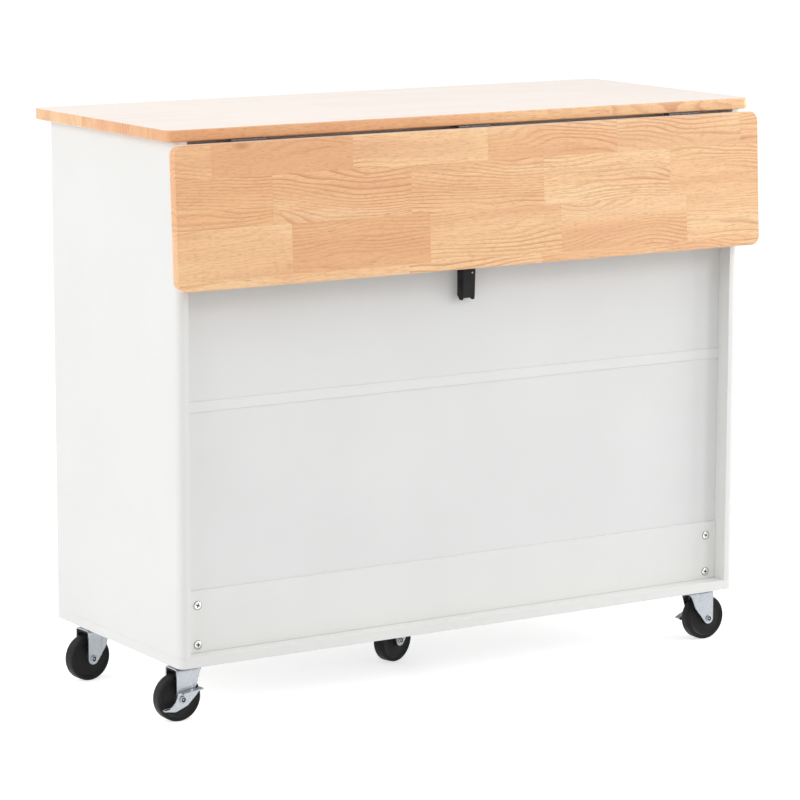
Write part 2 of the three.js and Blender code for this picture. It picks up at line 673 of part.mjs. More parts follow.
/** Strut of U section, drawn hanging from its head; the pin at its heel rides in the slot. */
function bracketStrut() {
  const half = BRACKET_WIDTH / 2 - BRACKET_STEEL - ARM_STEEL - 2 * FIT;
  const inside = half - STRUT_STEEL;
  const head = STRUT_HEAD_RADIUS;
  const heel = STRUT_HEEL_RADIUS;
  const flank = outline([
    [-head, head, head * 0.9],
    [-heel, -STRUT_LENGTH - heel, heel * 0.9],
    [heel, -STRUT_LENGTH - heel, heel * 0.9],
    [head, head, head * 0.9],
  ]);
  const pocket = block([-inside, -heel + STRUT_STEEL, heel * 3 - STRUT_LENGTH], [inside, 20, 20]);
  const headGap = block([-inside, -20, -head], [inside, 20, 20]);
  const headHole = rod('x', STRUT_PIN_RADIUS + FIT, -half - 1, half + 1);
  const slotReach = BRACKET_WIDTH / 2 - FIT;
  const heelPin = rod('x', STRUT_PIN_RADIUS, -slotReach, slotReach, [0, -STRUT_LENGTH]);
  const strut = cut(prism('x', flank, -half, half), pocket, headGap, headHole);
  const frame = turnedGroup(
    [
      BRACKET_OFFSET,
      pivotY - STRUT_REACH * Math.sin(armFolded),
      pivotZ - STRUT_REACH * Math.cos(armFolded),
    ],
    [strutFolded, 0, 0],
  );
  piece('bracket_strut', joined(strut, heelPin), blackSteel(), frame);
}

// ---------------------------------------------------------------- Casters

const crownUnderZ = FORK_CROWN_HEIGHT - FORK_STEEL;
const plateUnderZ = CASTER_HEIGHT - PLATE_THICKNESS;
const axleZ = WHEEL_DIAMETER / 2;
const forkHalf = FORK_WIDTH / 2;

/** Screwed plate with the bearing boss and the riveted kingpin that holds the fork. */
function casterPlate(name, x, y) {
  const half = PLATE_SIZE / 2;
  const hole = half - PLATE_HOLE_INSET;
  const plan = rectangle(-half, half, -half, half, 6);
  for (const [u, v] of [[-1, -1], [1, -1], [1, 1], [-1, 1]]) {
    const ring = arc(u * hole, v * hole, PLATE_HOLE_RADIUS, 2 * Math.PI, 0);
    plan.holes.push(new THREE.Path(ring.slice(1)));
  }
  const boss = BEARING_RADIUS - BEARING_WALL - FIT;
  const headTop = crownUnderZ - FIT;
  const pin = turned([
    [0, headTop - KINGPIN_HEAD_THICKNESS],
    [KINGPIN_HEAD_RADIUS - 1, headTop - KINGPIN_HEAD_THICKNESS],
    [KINGPIN_HEAD_RADIUS, headTop - KINGPIN_HEAD_THICKNESS + 1],
    [KINGPIN_HEAD_RADIUS, headTop],
    [KINGPIN_RADIUS, headTop],
    [KINGPIN_RADIUS, FORK_CROWN_HEIGHT + FIT],
    [boss - 2, FORK_CROWN_HEIGHT + FIT],
    [boss, FORK_CROWN_HEIGHT + FIT + 2],
    [boss, plateUnderZ + PLATE_THICKNESS / 2],
    [0, plateUnderZ + PLATE_THICKNESS / 2],
  ]);
  const plate = prism('z', plan, plateUnderZ, CASTER_HEIGHT);
  piece(`${name}_caster_plate`, joined(plate, pin), zinc(), turnedGroup([x, y, 0], [0, 0, 0]));
}

/** Stadium-shaped plan of the stamped fork: open at the trailing end, round at the leading end. */
function forkPlan(half, tail) {
  const nose = arc(0, 0, half, -Math.PI / 2, Math.PI / 2);
  return new THREE.Shape([
    new THREE.Vector2(-tail, -half),
    ...nose,
    new THREE.Vector2(-tail, half),
  ]);
}

/** Side view of the fork: straight trailing edge, round ear, slanted leading edge. */
function forkSide() {
  const leadX = forkHalf + 1;
  const run = new THREE.Vector2(leadX + CASTER_TRAIL, FORK_LEAD_HEIGHT - axleZ);
  const tangent = run.angle() - Math.acos(FORK_EAR_RADIUS / run.length());
  const ear = arc(-CASTER_TRAIL, axleZ, FORK_EAR_RADIUS, -Math.PI, tangent);
  return new THREE.Shape([
    new THREE.Vector2(-CASTER_TRAIL - FORK_EAR_RADIUS, FORK_CROWN_HEIGHT),
    ...ear,
    new THREE.Vector2(leadX, FORK_LEAD_HEIGHT),
    new THREE.Vector2(leadX, FORK_CROWN_HEIGHT),
  ]);
}

/** Stamped fork with its bearing cup and axle bolt, trailing towards -X. */
function fork(leverThickness) {
  const tail = CASTER_TRAIL + FORK_EAR_RADIUS;
  const shell = cut(
    prism('z', forkPlan(forkHalf, tail), axleZ - FORK_EAR_RADIUS, FORK_CROWN_HEIGHT),
    prism('z', forkPlan(forkHalf - FORK_STEEL, tail + 1), 0, crownUnderZ),
  );
  const stamped = shared(shell, prism('y', forkSide(), -forkHalf - 1, forkHalf + 1));
  const cupTop = plateUnderZ - 2 * FIT;
  const cup = turned([
    [BEARING_RADIUS - BEARING_WALL, crownUnderZ + FORK_STEEL / 2],
    [BEARING_RADIUS, crownUnderZ + FORK_STEEL / 2],
    [BEARING_RADIUS, cupTop - 1],
    [BEARING_RADIUS - 1, cupTop],
    [BEARING_RADIUS - BEARING_WALL, cupTop],
    [BEARING_RADIUS - BEARING_WALL, crownUnderZ + FORK_STEEL / 2],
  ]);
  const kingpinHole = rod('z', KINGPIN_RADIUS + FIT, crownUnderZ - 1, FORK_CROWN_HEIGHT + 1);
  const axlePlace = [-CASTER_TRAIL, axleZ];
  const headStart = -forkHalf - leverThickness;
  const headEnd = headStart - AXLE_NUT_THICKNESS;
  const axle = rod('y', AXLE_RADIUS, headStart - 1, forkHalf + 1, axlePlace);
  const head = rod('y', AXLE_NUT_RADIUS, headEnd, headStart, axlePlace);
  const nut = rod('y', AXLE_NUT_RADIUS, forkHalf, forkHalf + AXLE_NUT_THICKNESS, axlePlace, 6);
  return joined(cut(stamped, kingpinHole), cup, axle, head, nut);
}

/** Wheel about its own axle: hub, dished web and rounded tread. */
function wheel() {
  const bore = AXLE_RADIUS + FIT;
  const hub = forkHalf - FORK_STEEL - FIT;
  const radius = WHEEL_DIAMETER / 2;
  const tread = WHEEL_TREAD / 2;
  const web = tread - WHEEL_DISH;
  const half = [
    [bore, hub],
    [WHEEL_HUB_RADIUS, hub],
    [WHEEL_HUB_RADIUS + 1.5, web],
    [WHEEL_RIM_RADIUS, web],
    [WHEEL_RIM_RADIUS + 1.5, tread],
    [radius - WHEEL_SHOULDER, tread],
    [radius - WHEEL_SHOULDER * 0.293, tread - WHEEL_SHOULDER * 0.293],
    [radius, tread - WHEEL_SHOULDER],
  ];
  const lower = half.map(([r, y]) => [r, -y]);
  const profile = [...lower, ...half.reverse(), lower[0]];
  const points = profile.map(([r, y]) => new THREE.Vector2(r, y));
  return new THREE.LatheGeometry(points, WHEEL_SIDES);
}

/** Stamped brake lever about the axle, its pedal towards +X, lying outside the fork's -Y leg. */
function brakeLever() {
  const inner = -forkHalf - FIT;
  const outer = inner - LEVER_STEEL;
  const heel = LEVER_HEEL_REACH;
  const pedal = LEVER_PEDAL_REACH;
  const rise = LEVER_PEDAL_RISE;
  const drop = LEVER_HEEL_DROP;
  const blade = outline([
    [-heel, -drop - 1.5, 1.2],
    [-heel * 0.43, -drop * 1.85, 10],
    [pedal * 0.2, -drop * 1.27, 12],
    [pedal * 0.72, rise * 0.08, 10],
    [pedal, rise - LEVER_STEEL - 1, 1],
    [pedal, rise],
    [-heel * 0.15, rise, 3],
    [-heel * 0.37, -rise * 0.13, 5],
    [-heel * 0.6, -drop * 0.85, 5],
    [-heel, -drop + 1.5, 1],
  ]);
  const tread = rectangle(-heel * 0.06, pedal, rise - LEVER_STEEL, rise);
  const tab = rectangle(-heel, -heel * 0.72, -drop + 1.5 - LEVER_STEEL, -drop + 1.5);
  const bore = rod('y', AXLE_RADIUS + FIT, outer - 1, inner + 1);
  return cut(
    joined(
      prism('y', blade, outer, inner),
      prism('y', tread, outer - LEVER_PEDAL_WIDTH, outer + 1),
      prism('y', tab, outer - LEVER_HEEL_WIDTH, outer + 1),
    ),
    bore,
  );
}

/** One caster: plate on the cabinet, turned fork, wheel, and a brake lever where it has one. */
function caster(name, x, y, turn, leverTilt = null) {
  casterPlate(name, x, y);
  const swivel = turnedGroup([x, y, 0], [0, 0, turn]);
  const axleFrame = turnedGroup([-CASTER_TRAIL, 0, axleZ], [0, 0, 0], swivel);
  const leverSpace = leverTilt === null ? 0 : LEVER_STEEL + 2 * FIT;
  piece(`${name}_caster_fork`, fork(leverSpace), zinc(), swivel);
  piece(`${name}_caster_wheel`, wheel(), blackRubber(), axleFrame);
  if (leverTilt !== null) {
    const tilt = THREE.MathUtils.degToRad(leverTilt);
    const frame = turnedGroup([0, 0, 0], [0, -tilt, 0], axleFrame);
    piece(`${name}_brake_lever`, brakeLever(), zinc(), frame);
  }
}

// ---------------------------------------------------------------- Doors and drawers

/** Round bar handle on two posts: axis 'x' lies level, 'z' stands upright. */
function handle(name, axis, x, z) {
  const barY = CABINET_DEPTH + HANDLE_STANDOFF;
  const reach = HANDLE_SPAN / 2 + HANDLE_OVERRUN;
  const bar =
    axis === 'x'
      ? rod('x', HANDLE_BAR_RADIUS, x - reach, x + reach, [barY, z])
      : rod('z', HANDLE_BAR_RADIUS, z - reach, z + reach, [x, barY]);
  const posts = [-1, 1].map((end) => {
    const shift = (end * HANDLE_SPAN) / 2;
    const place = axis === 'x' ? [x + shift, z] : [x, z + shift];
    return rod('y', HANDLE_POST_RADIUS, CABINET_DEPTH, barY, place);
  });
  piece(name, joined(bar, ...posts), nickel());
}

/** Inset door; the middle knuckle of each butt hinge is part of it. */
function door(name, side) {
  const pinX = side * (innerX - FRONT_GAP / 2);
  const hingePinY = CABINET_DEPTH + DOOR_KNUCKLE_RADIUS + FIT;
  const hingeX = side * (innerX - FRONT_GAP);
  const freeX = side * (dividerX + FRONT_GAP);
  const third = DOOR_HINGE_LENGTH / 6;
  const face = rectangle(Math.min(freeX, hingeX), Math.max(freeX, hingeX), doorZ, doorTopZ);
  let leaf = prism('y', face, frontY, CABINET_DEPTH, FRONT_EDGE);
  const levels = [
    ['upper', doorTopZ - DOOR_HINGE_INSET],
    ['lower', doorZ + DOOR_HINGE_INSET],
  ];
  for (const [level, z] of levels) {
    const knuckle = rod('z', DOOR_KNUCKLE_RADIUS, z - third, z + third, [pinX, hingePinY]);
    const linkX = [hingeX - side * 2 * DOOR_KNUCKLE_RADIUS, hingeX].sort((a, b) => a - b);
    const link = block(
      [linkX[0], CABINET_DEPTH - FRONT_EDGE * 2, z - third],
      [linkX[1], hingePinY, z + third],
    );
    const bore = rod('z', HINGE_PIN_RADIUS + FIT, z - third * 2, z + third * 2, [pinX, hingePinY]);
    leaf = cut(joined(leaf, link, knuckle), bore);
    piece(`${name}_door_${level}_hinge`, doorHinge(side, pinX, hingePinY, z, third), zinc());
  }
  piece(`${name}_door`, leaf, whiteBoard());
  const handleZ = doorTopZ - DOOR_HANDLE_DROP - HANDLE_OVERRUN - HANDLE_SPAN / 2;
  handle(`${name}_door_handle`, 'z', freeX + side * DOOR_HANDLE_INSET, handleZ);
}

/** Fixed half of a door hinge: plate in the gap beside the door, two knuckles and the pin. */
function doorHinge(side, pinX, pinYFront, z, third) {
  const half = DOOR_HINGE_LENGTH / 2;
  const plateX = [side * innerX, side * (innerX - DOOR_HINGE_PLATE)].sort((a, b) => a - b);
  const plate = block([plateX[0], frontY, z - half], [plateX[1], pinYFront, z + half]);
  const relief = rod('z', DOOR_KNUCKLE_RADIUS + FIT, z - third - FIT, z + third + FIT, [
    pinX,
    pinYFront,
  ]);
  const knuckles = [-1, 1].map((end) => {
    const ends = [end * (third + FIT), end * half].sort((a, b) => a - b);
    return rod('z', DOOR_KNUCKLE_RADIUS, z + ends[0], z + ends[1], [pinX, pinYFront]);
  });
  const pin = rod('z', HINGE_PIN_RADIUS, z - half, z + half, [pinX, pinYFront]);
  return joined(cut(plate, relief), ...knuckles, pin);
}

/** Drawer: inset front, open box with a tongue on each side, and a grooved runner for each. */
function drawer(name, side) {
  const innerEdge = side * dividerX;
  const outerEdge = side * innerX;
  const [lowX, highX] = [innerEdge, outerEdge].sort((a, b) => a - b);
  const faceZ1 = drawerZ + DRAWER_FRONT_HEIGHT;
  const face = rectangle(lowX + FRONT_GAP, highX - FRONT_GAP, drawerZ, faceZ1);
  const front = prism('y', face, frontY, CABINET_DEPTH, FRONT_EDGE);
  piece(`${name}_drawer_front`, front, whiteBoard());

  const side0 = lowX + RUNNER_THICKNESS + RUNNER_CLEARANCE;
  const side1 = highX - RUNNER_THICKNESS - RUNNER_CLEARANCE;
  const rearY = panelFrontY + DRAWER_BOX_REAR_GAP;
  const boxZ = drawerZ + DRAWER_BOX_LIFT;
  const boxTopZ = boxZ + DRAWER_BOX_HEIGHT;
  const midZ = boxZ + DRAWER_BOX_HEIGHT / 2;
  const tongueBase = midZ - TONGUE_HEIGHT / 2;
  const tongueTop = midZ + TONGUE_HEIGHT / 2;
  const box = cut(
    block([side0, rearY, boxZ], [side1, frontY, boxTopZ]),
    block(
      [side0 + DRAWER_WALL, rearY + DRAWER_WALL, boxZ + DRAWER_BOTTOM],
      [side1 - DRAWER_WALL, frontY - DRAWER_WALL, boxTopZ + 1],
    ),
  );
  const tongues = block(
    [side0 - TONGUE_DEPTH, rearY, tongueBase],
    [side0 + 1, frontY - 1, tongueTop],
  );
  const otherTongue = block(
    [side1 - 1, rearY, tongueBase],
    [side1 + TONGUE_DEPTH, frontY - 1, tongueTop],
  );
  piece(`${name}_drawer_box`, joined(box, tongues, otherTongue), whiteBoard());
  handle(`${name}_drawer_handle`, 'x', (lowX + highX) / 2, (drawerZ + faceZ1) / 2);

  const runner = (base, towards) => {
    const open = base + towards * RUNNER_THICKNESS;
    const floor = open - towards * (TONGUE_DEPTH + RUNNER_CLEARANCE);
    return outline([
      [base, midZ - RUNNER_HEIGHT / 2],
      [open, midZ - RUNNER_HEIGHT / 2],
      [open, tongueBase - FIT],
      [floor, tongueBase - FIT],
      [floor, tongueTop + FIT],
      [open, tongueTop + FIT],
      [open, midZ + RUNNER_HEIGHT / 2],
      [base, midZ + RUNNER_HEIGHT / 2],
    ]);
  };
  const runners = side < 0 ? ['outer', 'inner'] : ['inner', 'outer'];
  const shapes = [runner(lowX, 1), runner(highX, -1)];
  runners.forEach((place, index) => {
    const rail = prism('y', shapes[index], rearY, frontY - RUNNER_CLEARANCE);
    piece(`${name}_drawer_${place}_runner`, rail, runnerPlastic());
  });
}

// ---------------------------------------------------------------- Island

bottomBoard();
centerDivider();
stretchers();
backRail();
backPanels();
countertop();
dropLeaf();
bracketChannel();
bracketArm();
bracketStrut();
for (const [name, side] of SIDES) {
  sidePanel(name, side);
  shelf(name, side);
  door(name, side);
  drawer(name, side);
}

const casterX = sideX - CASTER_END_INSET;
const casterFrontY = CABINET_DEPTH - CASTER_SIDE_INSET;
caster('rear_left', -casterX, CASTER_SIDE_INSET, 0, LEVER_UP);
caster('rear_right', casterX, CASTER_SIDE_INSET, Math.PI, LEVER_DOWN);
caster('front_left', -casterX, casterFrontY, THREE.MathUtils.degToRad(FRONT_LEFT_SWIVEL));
caster('front_right', casterX, casterFrontY, Math.PI);
caster('center', 0, CABINET_DEPTH / 2, THREE.MathUtils.degToRad(CENTER_SWIVEL));

// The origin is on the floor, under the middle of the island's box
const extent = new THREE.Box3().setFromObject(island, true);
island.position.y = -(extent.min.y + extent.max.y) / 2;

export default island;
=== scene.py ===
"""Dresses the drop leaf kitchen island for rendering.

Metres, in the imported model's own frame: X runs along the cabinet, -Y is the side of the
drop leaf, +Z is up, and the origin lies on the floor under the middle of the island.
"""

import json
import logging
from collections.abc import Sequence
from dataclasses import dataclass, field
from enum import Enum
from math import atan2, cos, hypot, pi, radians, sin

import bmesh
import bpy
import numpy as np
from mathutils import Matrix, Vector

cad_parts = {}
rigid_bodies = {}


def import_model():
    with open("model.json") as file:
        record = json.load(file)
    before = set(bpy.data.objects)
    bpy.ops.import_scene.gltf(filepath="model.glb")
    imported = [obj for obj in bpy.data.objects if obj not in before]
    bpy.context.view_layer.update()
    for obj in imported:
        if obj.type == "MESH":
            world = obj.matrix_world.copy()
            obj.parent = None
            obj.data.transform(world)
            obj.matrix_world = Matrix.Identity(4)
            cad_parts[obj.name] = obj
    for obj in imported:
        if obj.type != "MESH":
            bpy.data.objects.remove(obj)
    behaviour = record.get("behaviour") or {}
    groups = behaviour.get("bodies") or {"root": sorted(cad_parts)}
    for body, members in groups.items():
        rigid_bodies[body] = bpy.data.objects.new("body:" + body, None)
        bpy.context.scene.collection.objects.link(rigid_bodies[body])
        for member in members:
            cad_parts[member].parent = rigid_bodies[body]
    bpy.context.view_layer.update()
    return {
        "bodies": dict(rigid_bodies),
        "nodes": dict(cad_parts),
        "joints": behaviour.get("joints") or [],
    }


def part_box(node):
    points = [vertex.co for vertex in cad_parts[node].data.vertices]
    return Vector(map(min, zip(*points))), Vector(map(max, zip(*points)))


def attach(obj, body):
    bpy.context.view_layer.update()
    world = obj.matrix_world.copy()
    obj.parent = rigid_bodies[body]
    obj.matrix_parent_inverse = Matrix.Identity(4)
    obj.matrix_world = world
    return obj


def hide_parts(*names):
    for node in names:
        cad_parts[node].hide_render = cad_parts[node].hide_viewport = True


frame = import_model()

LOG = logging.getLogger("island")
MM = 0.001
PIVOT = {joint["name"]: Vector(joint["pos_m"]) for joint in frame["joints"] if "pos_m" in joint}
LEAF_PIN = PIVOT["leaf_hinge"]
LEAN = radians(3)
Socket = bpy.types.NodeSocket
Value = float | tuple[float, ...] | Socket
Profile = Sequence[tuple[float, float]]
Point = tuple[float, float, float]


class Slot(Enum):
    """Material slots of the record."""

    WHITE_BOARD = "white_board"
    WHITE_PANEL = "white_panel"
    WOOD = "wood"
    ZINC = "zinc"
    NICKEL = "nickel"
    BLACK_STEEL = "black_steel"
    BLACK_RUBBER = "black_rubber"
    RUNNER_PLASTIC = "runner_plastic"


class Axis(Enum):
    """Direction that a turned piece's own axis points along, as a unit vector."""

    X = (1.0, 0.0, 0.0)
    Y = (0.0, 1.0, 0.0)
    Z = (0.0, 0.0, 1.0)
    MINUS_X = (-1.0, 0.0, 0.0)
    MINUS_Y = (0.0, -1.0, 0.0)
    MINUS_Z = (0.0, 0.0, -1.0)


# ---------------------------------------------------------------- Node graphs and finishes

# A finish: its material and the record's slot that it belongs to
Finish = tuple[bpy.types.Material, Slot]


class NodeGraph:
    """Node tree of a material or of the world, built through short calls."""

    def __init__(self, owner: bpy.types.ID, shader: str = "Principled BSDF") -> None:
        """Takes up the owner's nodes.

        Args:
            owner: the new material or world.
            shader: the name of its shader node.
        """
        self.owner = owner
        owner.use_nodes = True
        self.tree = owner.node_tree
        self.shader = self.tree.nodes[shader]

    def feed(self, socket: Socket, value: Value) -> None:
        """Links a socket, or sets its constant.

        Args:
            socket: the input that is fed.
            value: another node's output, or a constant.
        """
        if isinstance(value, bpy.types.NodeSocket):
            self.tree.links.new(value, socket)
        else:
            socket.default_value = value

    def add(self, kind: str, inputs: dict[int | str, Value], **settings: object) -> bpy.types.Node:
        """Adds a node.

        Args:
            kind: the node's type name.
            inputs: what goes into its sockets, by name or number.
            settings: the node's own properties.

        Returns:
            The new node.
        """
        node = self.tree.nodes.new(kind)
        for key, value in settings.items():
            setattr(node, key, value)
        for key, value in inputs.items():
            self.feed(node.inputs[key], value)
        return node

    def math(self, operation: str, first: Value, second: Value = 0.0) -> Socket:
        """Result of a Math node for two values."""
        node = self.add("ShaderNodeMath", {0: first, 1: second}, operation=operation)
        return node.outputs[0]

    def vector_math(self, operation: str, first: Value, second: Value) -> Socket:
        """Vector result of a Vector Math node for two vectors."""
        node = self.add("ShaderNodeVectorMath", {0: first, 1: second}, operation=operation)
        return node.outputs[0]

    def mix(self, factor: Value, first: Value, second: Value, blend: str = "MIX") -> Socket:
        """Colour mixed from two colours."""
        node = self.add(
            "ShaderNodeMix",
            {0: factor, 6: first, 7: second},
            data_type="RGBA",
            blend_type=blend,
            clamp_factor=True,
        )
        return node.outputs[2]

    def ranged(self, value: Value, low: float, high: float, out: tuple[float, float]) -> Socket:
        """Value carried smoothly from low..high to the range out.

        Args:
            value: the value.
            low: where it starts to change.
            high: where it stops.
            out: the results at low and high.

        Returns:
            The output socket.
        """
        node = self.add(
            "ShaderNodeMapRange",
            {0: value, 1: low, 2: high, 3: out[0], 4: out[1]},
            interpolation_type="SMOOTHSTEP",
        )
        return node.outputs[0]

    def ramp(self, value: Value, stops: Sequence[tuple[float, tuple[float, ...]]]) -> Socket:
        """Colour from a ramp of stops (place, colour)."""
        node = self.add("ShaderNodeValToRGB", {0: value})
        elements = node.color_ramp.elements
        while len(elements) < len(stops):
            elements.new(0.5)
        for element, (place, colour) in zip(elements, stops):
            element.position = place
            element.color = (*colour, 1.0)
        return node.outputs[0]

    def place(
        self,
        location: Point = (0, 0, 0),
        turn: float = 0.0,
        scale: Point = (1, 1, 1),
    ) -> Socket:
        """Object coordinates, scaled, turned about X by an angle, and moved."""
        source = self.add("ShaderNodeTexCoord", {}).outputs["Object"]
        return self.add(
            "ShaderNodeMapping", {0: source, 1: location, 2: (turn, 0, 0), 3: scale}
        ).outputs[0]

    def noise(self, vector: Value, scale: float, detail: float, distort: float = 0.0) -> Socket:
        """Noise between 0 and 1 at a scale in cycles a metre."""
        node = self.add(
            "ShaderNodeTexNoise",
            {"Vector": vector, "Scale": scale, "Detail": detail, "Distortion": distort},
        )
        return node.outputs[0]

    def bump(self, height: Value, depth: float) -> None:
        """Raises the surface by a height of 0..1 times a depth in metres."""
        node = self.add("ShaderNodeBump", {"Height": height, "Distance": depth, "Strength": 1.0})
        self.feed(self.shader.inputs["Normal"], node.outputs[0])

    def surface(self, inputs: dict[int | str, Value]) -> bpy.types.ID:
        """Feeds the shader and returns the finished owner."""
        for key, value in inputs.items():
            self.feed(self.shader.inputs[key], value)
        return self.owner

    def shown(self) -> Socket:
        """1 for what the camera sees, straight or in a reflection, otherwise 0."""
        rays = self.add("ShaderNodeLightPath", {}).outputs
        return self.math("MAXIMUM", rays["Is Camera Ray"], rays["Is Glossy Ray"])


@dataclass(frozen=True)
class Laminate:
    """White laminated board: a faint cloudiness and a fine orange-peel surface."""

    name: str
    slot: Slot
    colour: tuple[float, float, float]
    roughness: float = 0.42
    peel: float = 0.00003

    def build(self) -> Finish:
        """Builds the node material."""
        graph = NodeGraph(bpy.data.materials.new(self.name))
        spot = graph.place()
        cloud = graph.ranged(graph.noise(spot, 5.0, 3.0), 0.3, 0.7, (0.97, 1.0))
        shade = graph.mix(1.0, (*self.colour, 1), graph.add(
            "ShaderNodeCombineColor", {0: cloud, 1: cloud, 2: cloud}
        ).outputs[0], "MULTIPLY")
        fine = graph.noise(spot, 900.0, 2.0)
        rough = graph.ranged(graph.noise(spot, 60.0, 3.0), 0.3, 0.7, (
            self.roughness - 0.05, self.roughness + 0.05
        ))
        graph.bump(fine, self.peel)
        return graph.surface({"Base Color": shade, "Roughness": rough}), self.slot


@dataclass(frozen=True)
class StaveWood:
    """Glued hardwood staves under a satin lacquer.

    A stave is a cell of a brick pattern, and each has its own tone and grain. Rows run along
    X, and the coordinate across them comes from turning the board's frame about X.
    """

    name: str
    origin: tuple[float, float, float]
    turn: float
    row_start: float
    seed: float
    slot: Slot = Slot.WOOD
    row: float = 0.0763
    stave: float = 0.248
    ring: float = 0.0074

    def build(self) -> Finish:
        """Builds the node material."""
        graph = NodeGraph(bpy.data.materials.new(self.name))
        spot = graph.place(self.origin, self.turn)
        parts = graph.add("ShaderNodeSeparateXYZ", {0: spot}).outputs
        across = graph.math("DIVIDE", graph.math("ADD", parts[1], self.row_start), self.row)
        row = graph.math("FLOOR", across)
        bend = graph.math("MULTIPLY", graph.math("MULTIPLY", row, row), -0.145)
        shift = graph.math("ADD", graph.math("MULTIPLY", row, 0.565), bend)
        along = graph.math("SUBTRACT", graph.math("DIVIDE", parts[0], self.stave), shift)
        along = graph.math("SUBTRACT", along, 0.05)
        column = graph.math("FLOOR", along)
        cell = graph.add("ShaderNodeCombineXYZ", {0: column, 1: row, 2: self.seed}).outputs[0]
        random = graph.add("ShaderNodeTexWhiteNoise", {"Vector": cell}, noise_dimensions="3D")
        tone = graph.ramp(random.outputs["Value"], (
            (0.0, (0.790, 0.415, 0.198)),
            (0.3, (0.860, 0.487, 0.240)),
            (0.65, (0.905, 0.567, 0.292)),
            (1.0, (0.950, 0.650, 0.350)),
        ))
        jump = graph.vector_math("MULTIPLY", random.outputs["Color"], (9.0, 9.0, 9.0))
        fibre = graph.vector_math("ADD", spot, jump)
        band = self.stretched(graph, fibre, (2.2, 26.0, 26.0), 2.0)
        fine = self.stretched(graph, fibre, (18.0, 600.0, 600.0), 3.0)
        pores = self.stretched(graph, fibre, (80.0, 1500.0, 1500.0), 1.0)
        pore = graph.ranged(pores, 0.57, 0.69, (0.0, 0.6))
        for amount, colour in (
            (graph.ranged(band, 0.46, 0.72, (0.0, 0.55)), (0.74, 0.36, 0.19, 1)),
            (graph.ranged(band, 0.30, 0.46, (0.35, 0.0)), (0.97, 0.74, 0.46, 1)),
            (self.figure(graph, fibre), (0.60, 0.245, 0.100, 1)),
            (graph.ranged(fine, 0.35, 0.75, (0.0, 0.36)), (0.64, 0.31, 0.14, 1)),
            (pore, (0.50, 0.20, 0.08, 1)),
            (self.knots(graph, fibre), (0.50, 0.22, 0.09, 1)),
            (self.joints(graph, across, along), (0.50, 0.22, 0.10, 1)),
        ):
            tone = graph.mix(amount, tone, colour)
        tone = graph.mix(self.edge(graph), tone, (0.98, 0.94, 0.90, 1), "MULTIPLY")
        # Painted sheen: the colour pales towards cream where the board is seen at a grazing angle,
        # standing in for the lacquer's reflection.
        painted_sheen = graph.add("ShaderNodeLayerWeight", {"Blend": 0.5}).outputs["Facing"]
        tone = graph.mix(graph.ranged(painted_sheen, 0.60, 0.86, (0.0, 0.72)), tone, (1.0, 0.97, 0.94, 1))
        height = graph.math("SUBTRACT", fine, graph.math("MULTIPLY", pore, 0.8))
        graph.bump(height, 0.00006)
        return graph.surface({
            "Base Color": tone,
            "Roughness": graph.ranged(fine, 0.3, 0.7, (0.36, 0.48)),
            "Coat Weight": 0.5,
            "Coat Roughness": 0.28,
        }), self.slot

    def stretched(
        self, graph: NodeGraph, vector: Socket, scale: Point, detail: float
    ) -> Socket:
        """Noise drawn out along the grain; scale is in cycles a metre."""
        return graph.noise(graph.vector_math("MULTIPLY", vector, scale), 1.0, detail)

    def figure(self, graph: NodeGraph, fibre: Socket) -> Socket:
        """Growth rings: a saw-toothed wave of the place across the grain, bent by a noise.

        Where the noise changes faster than the place, the rings close into cathedral tips.

        Args:
            graph: the material's graph.
            fibre: coordinates of the stave's own wood.

        Returns:
            0 between the rings and up to 1 on their late wood.
        """
        bend = self.stretched(graph, fibre, (2.8, 10.0, 10.0), 1.8)
        across = graph.add("ShaderNodeSeparateXYZ", {0: fibre}).outputs[1]
        place = graph.math("ADD", across, graph.math("MULTIPLY", bend, 0.125))
        saw = graph.math("FRACT", graph.math("DIVIDE", place, self.ring))
        line = graph.math(
            "MULTIPLY",
            graph.ranged(saw, 0.45, 0.92, (0.0, 1.0)),
            graph.ranged(saw, 0.92, 1.0, (1.0, 0.0)),
        )
        patch = graph.ranged(self.stretched(graph, fibre, (3.5, 16.0, 16.0), 1.5), 0.40, 0.68, (
            0.08, 0.85
        ))
        return graph.math("MULTIPLY", line, patch)

    def knots(self, graph: NodeGraph, fibre: Socket) -> Socket:
        """A few small pin knots: soft spots round the points of a sparse cell pattern."""
        cells = graph.add(
            "ShaderNodeTexVoronoi",
            {"Vector": graph.vector_math("MULTIPLY", fibre, (5.0, 13.0, 13.0)), "Scale": 1.0},
        ).outputs
        level = graph.add("ShaderNodeSeparateXYZ", {0: cells["Color"]}).outputs[0]
        spot = graph.ranged(cells["Distance"], 0.02, 0.11, (0.75, 0.0))
        return graph.math("MULTIPLY", spot, graph.ranged(level, 0.45, 0.6, (0.0, 1.0)))

    def joints(self, graph: NodeGraph, across: Socket, along: Socket) -> Socket:
        """Thin darker glue lines where a stave's fraction is close to 0 or 1."""
        lines = []
        for place, length in ((across, self.row), (along, self.stave)):
            part = graph.math("FRACT", place)
            nearest = graph.math("MINIMUM", part, graph.math("SUBTRACT", 1.0, part))
            gap = graph.math("MULTIPLY", nearest, length)
            lines.append(graph.ranged(gap, 0.0001, 0.0005, (0.14, 0.0)))
        return graph.math("MAXIMUM", lines[0], lines[1])

    def edge(self, graph: NodeGraph) -> Socket:
        """1 on the narrow edges and ends of the board, 0 on its two broad faces."""
        normal = graph.add("ShaderNodeTexCoord", {}).outputs["Normal"]
        broad = graph.add(
            "ShaderNodeVectorMath",
            {0: normal, 1: (0, sin(self.turn), cos(self.turn))},
            operation="DOT_PRODUCT",
        ).outputs["Value"]
        return graph.ranged(graph.math("ABSOLUTE", broad), 0.35, 0.85, (1.0, 0.0))


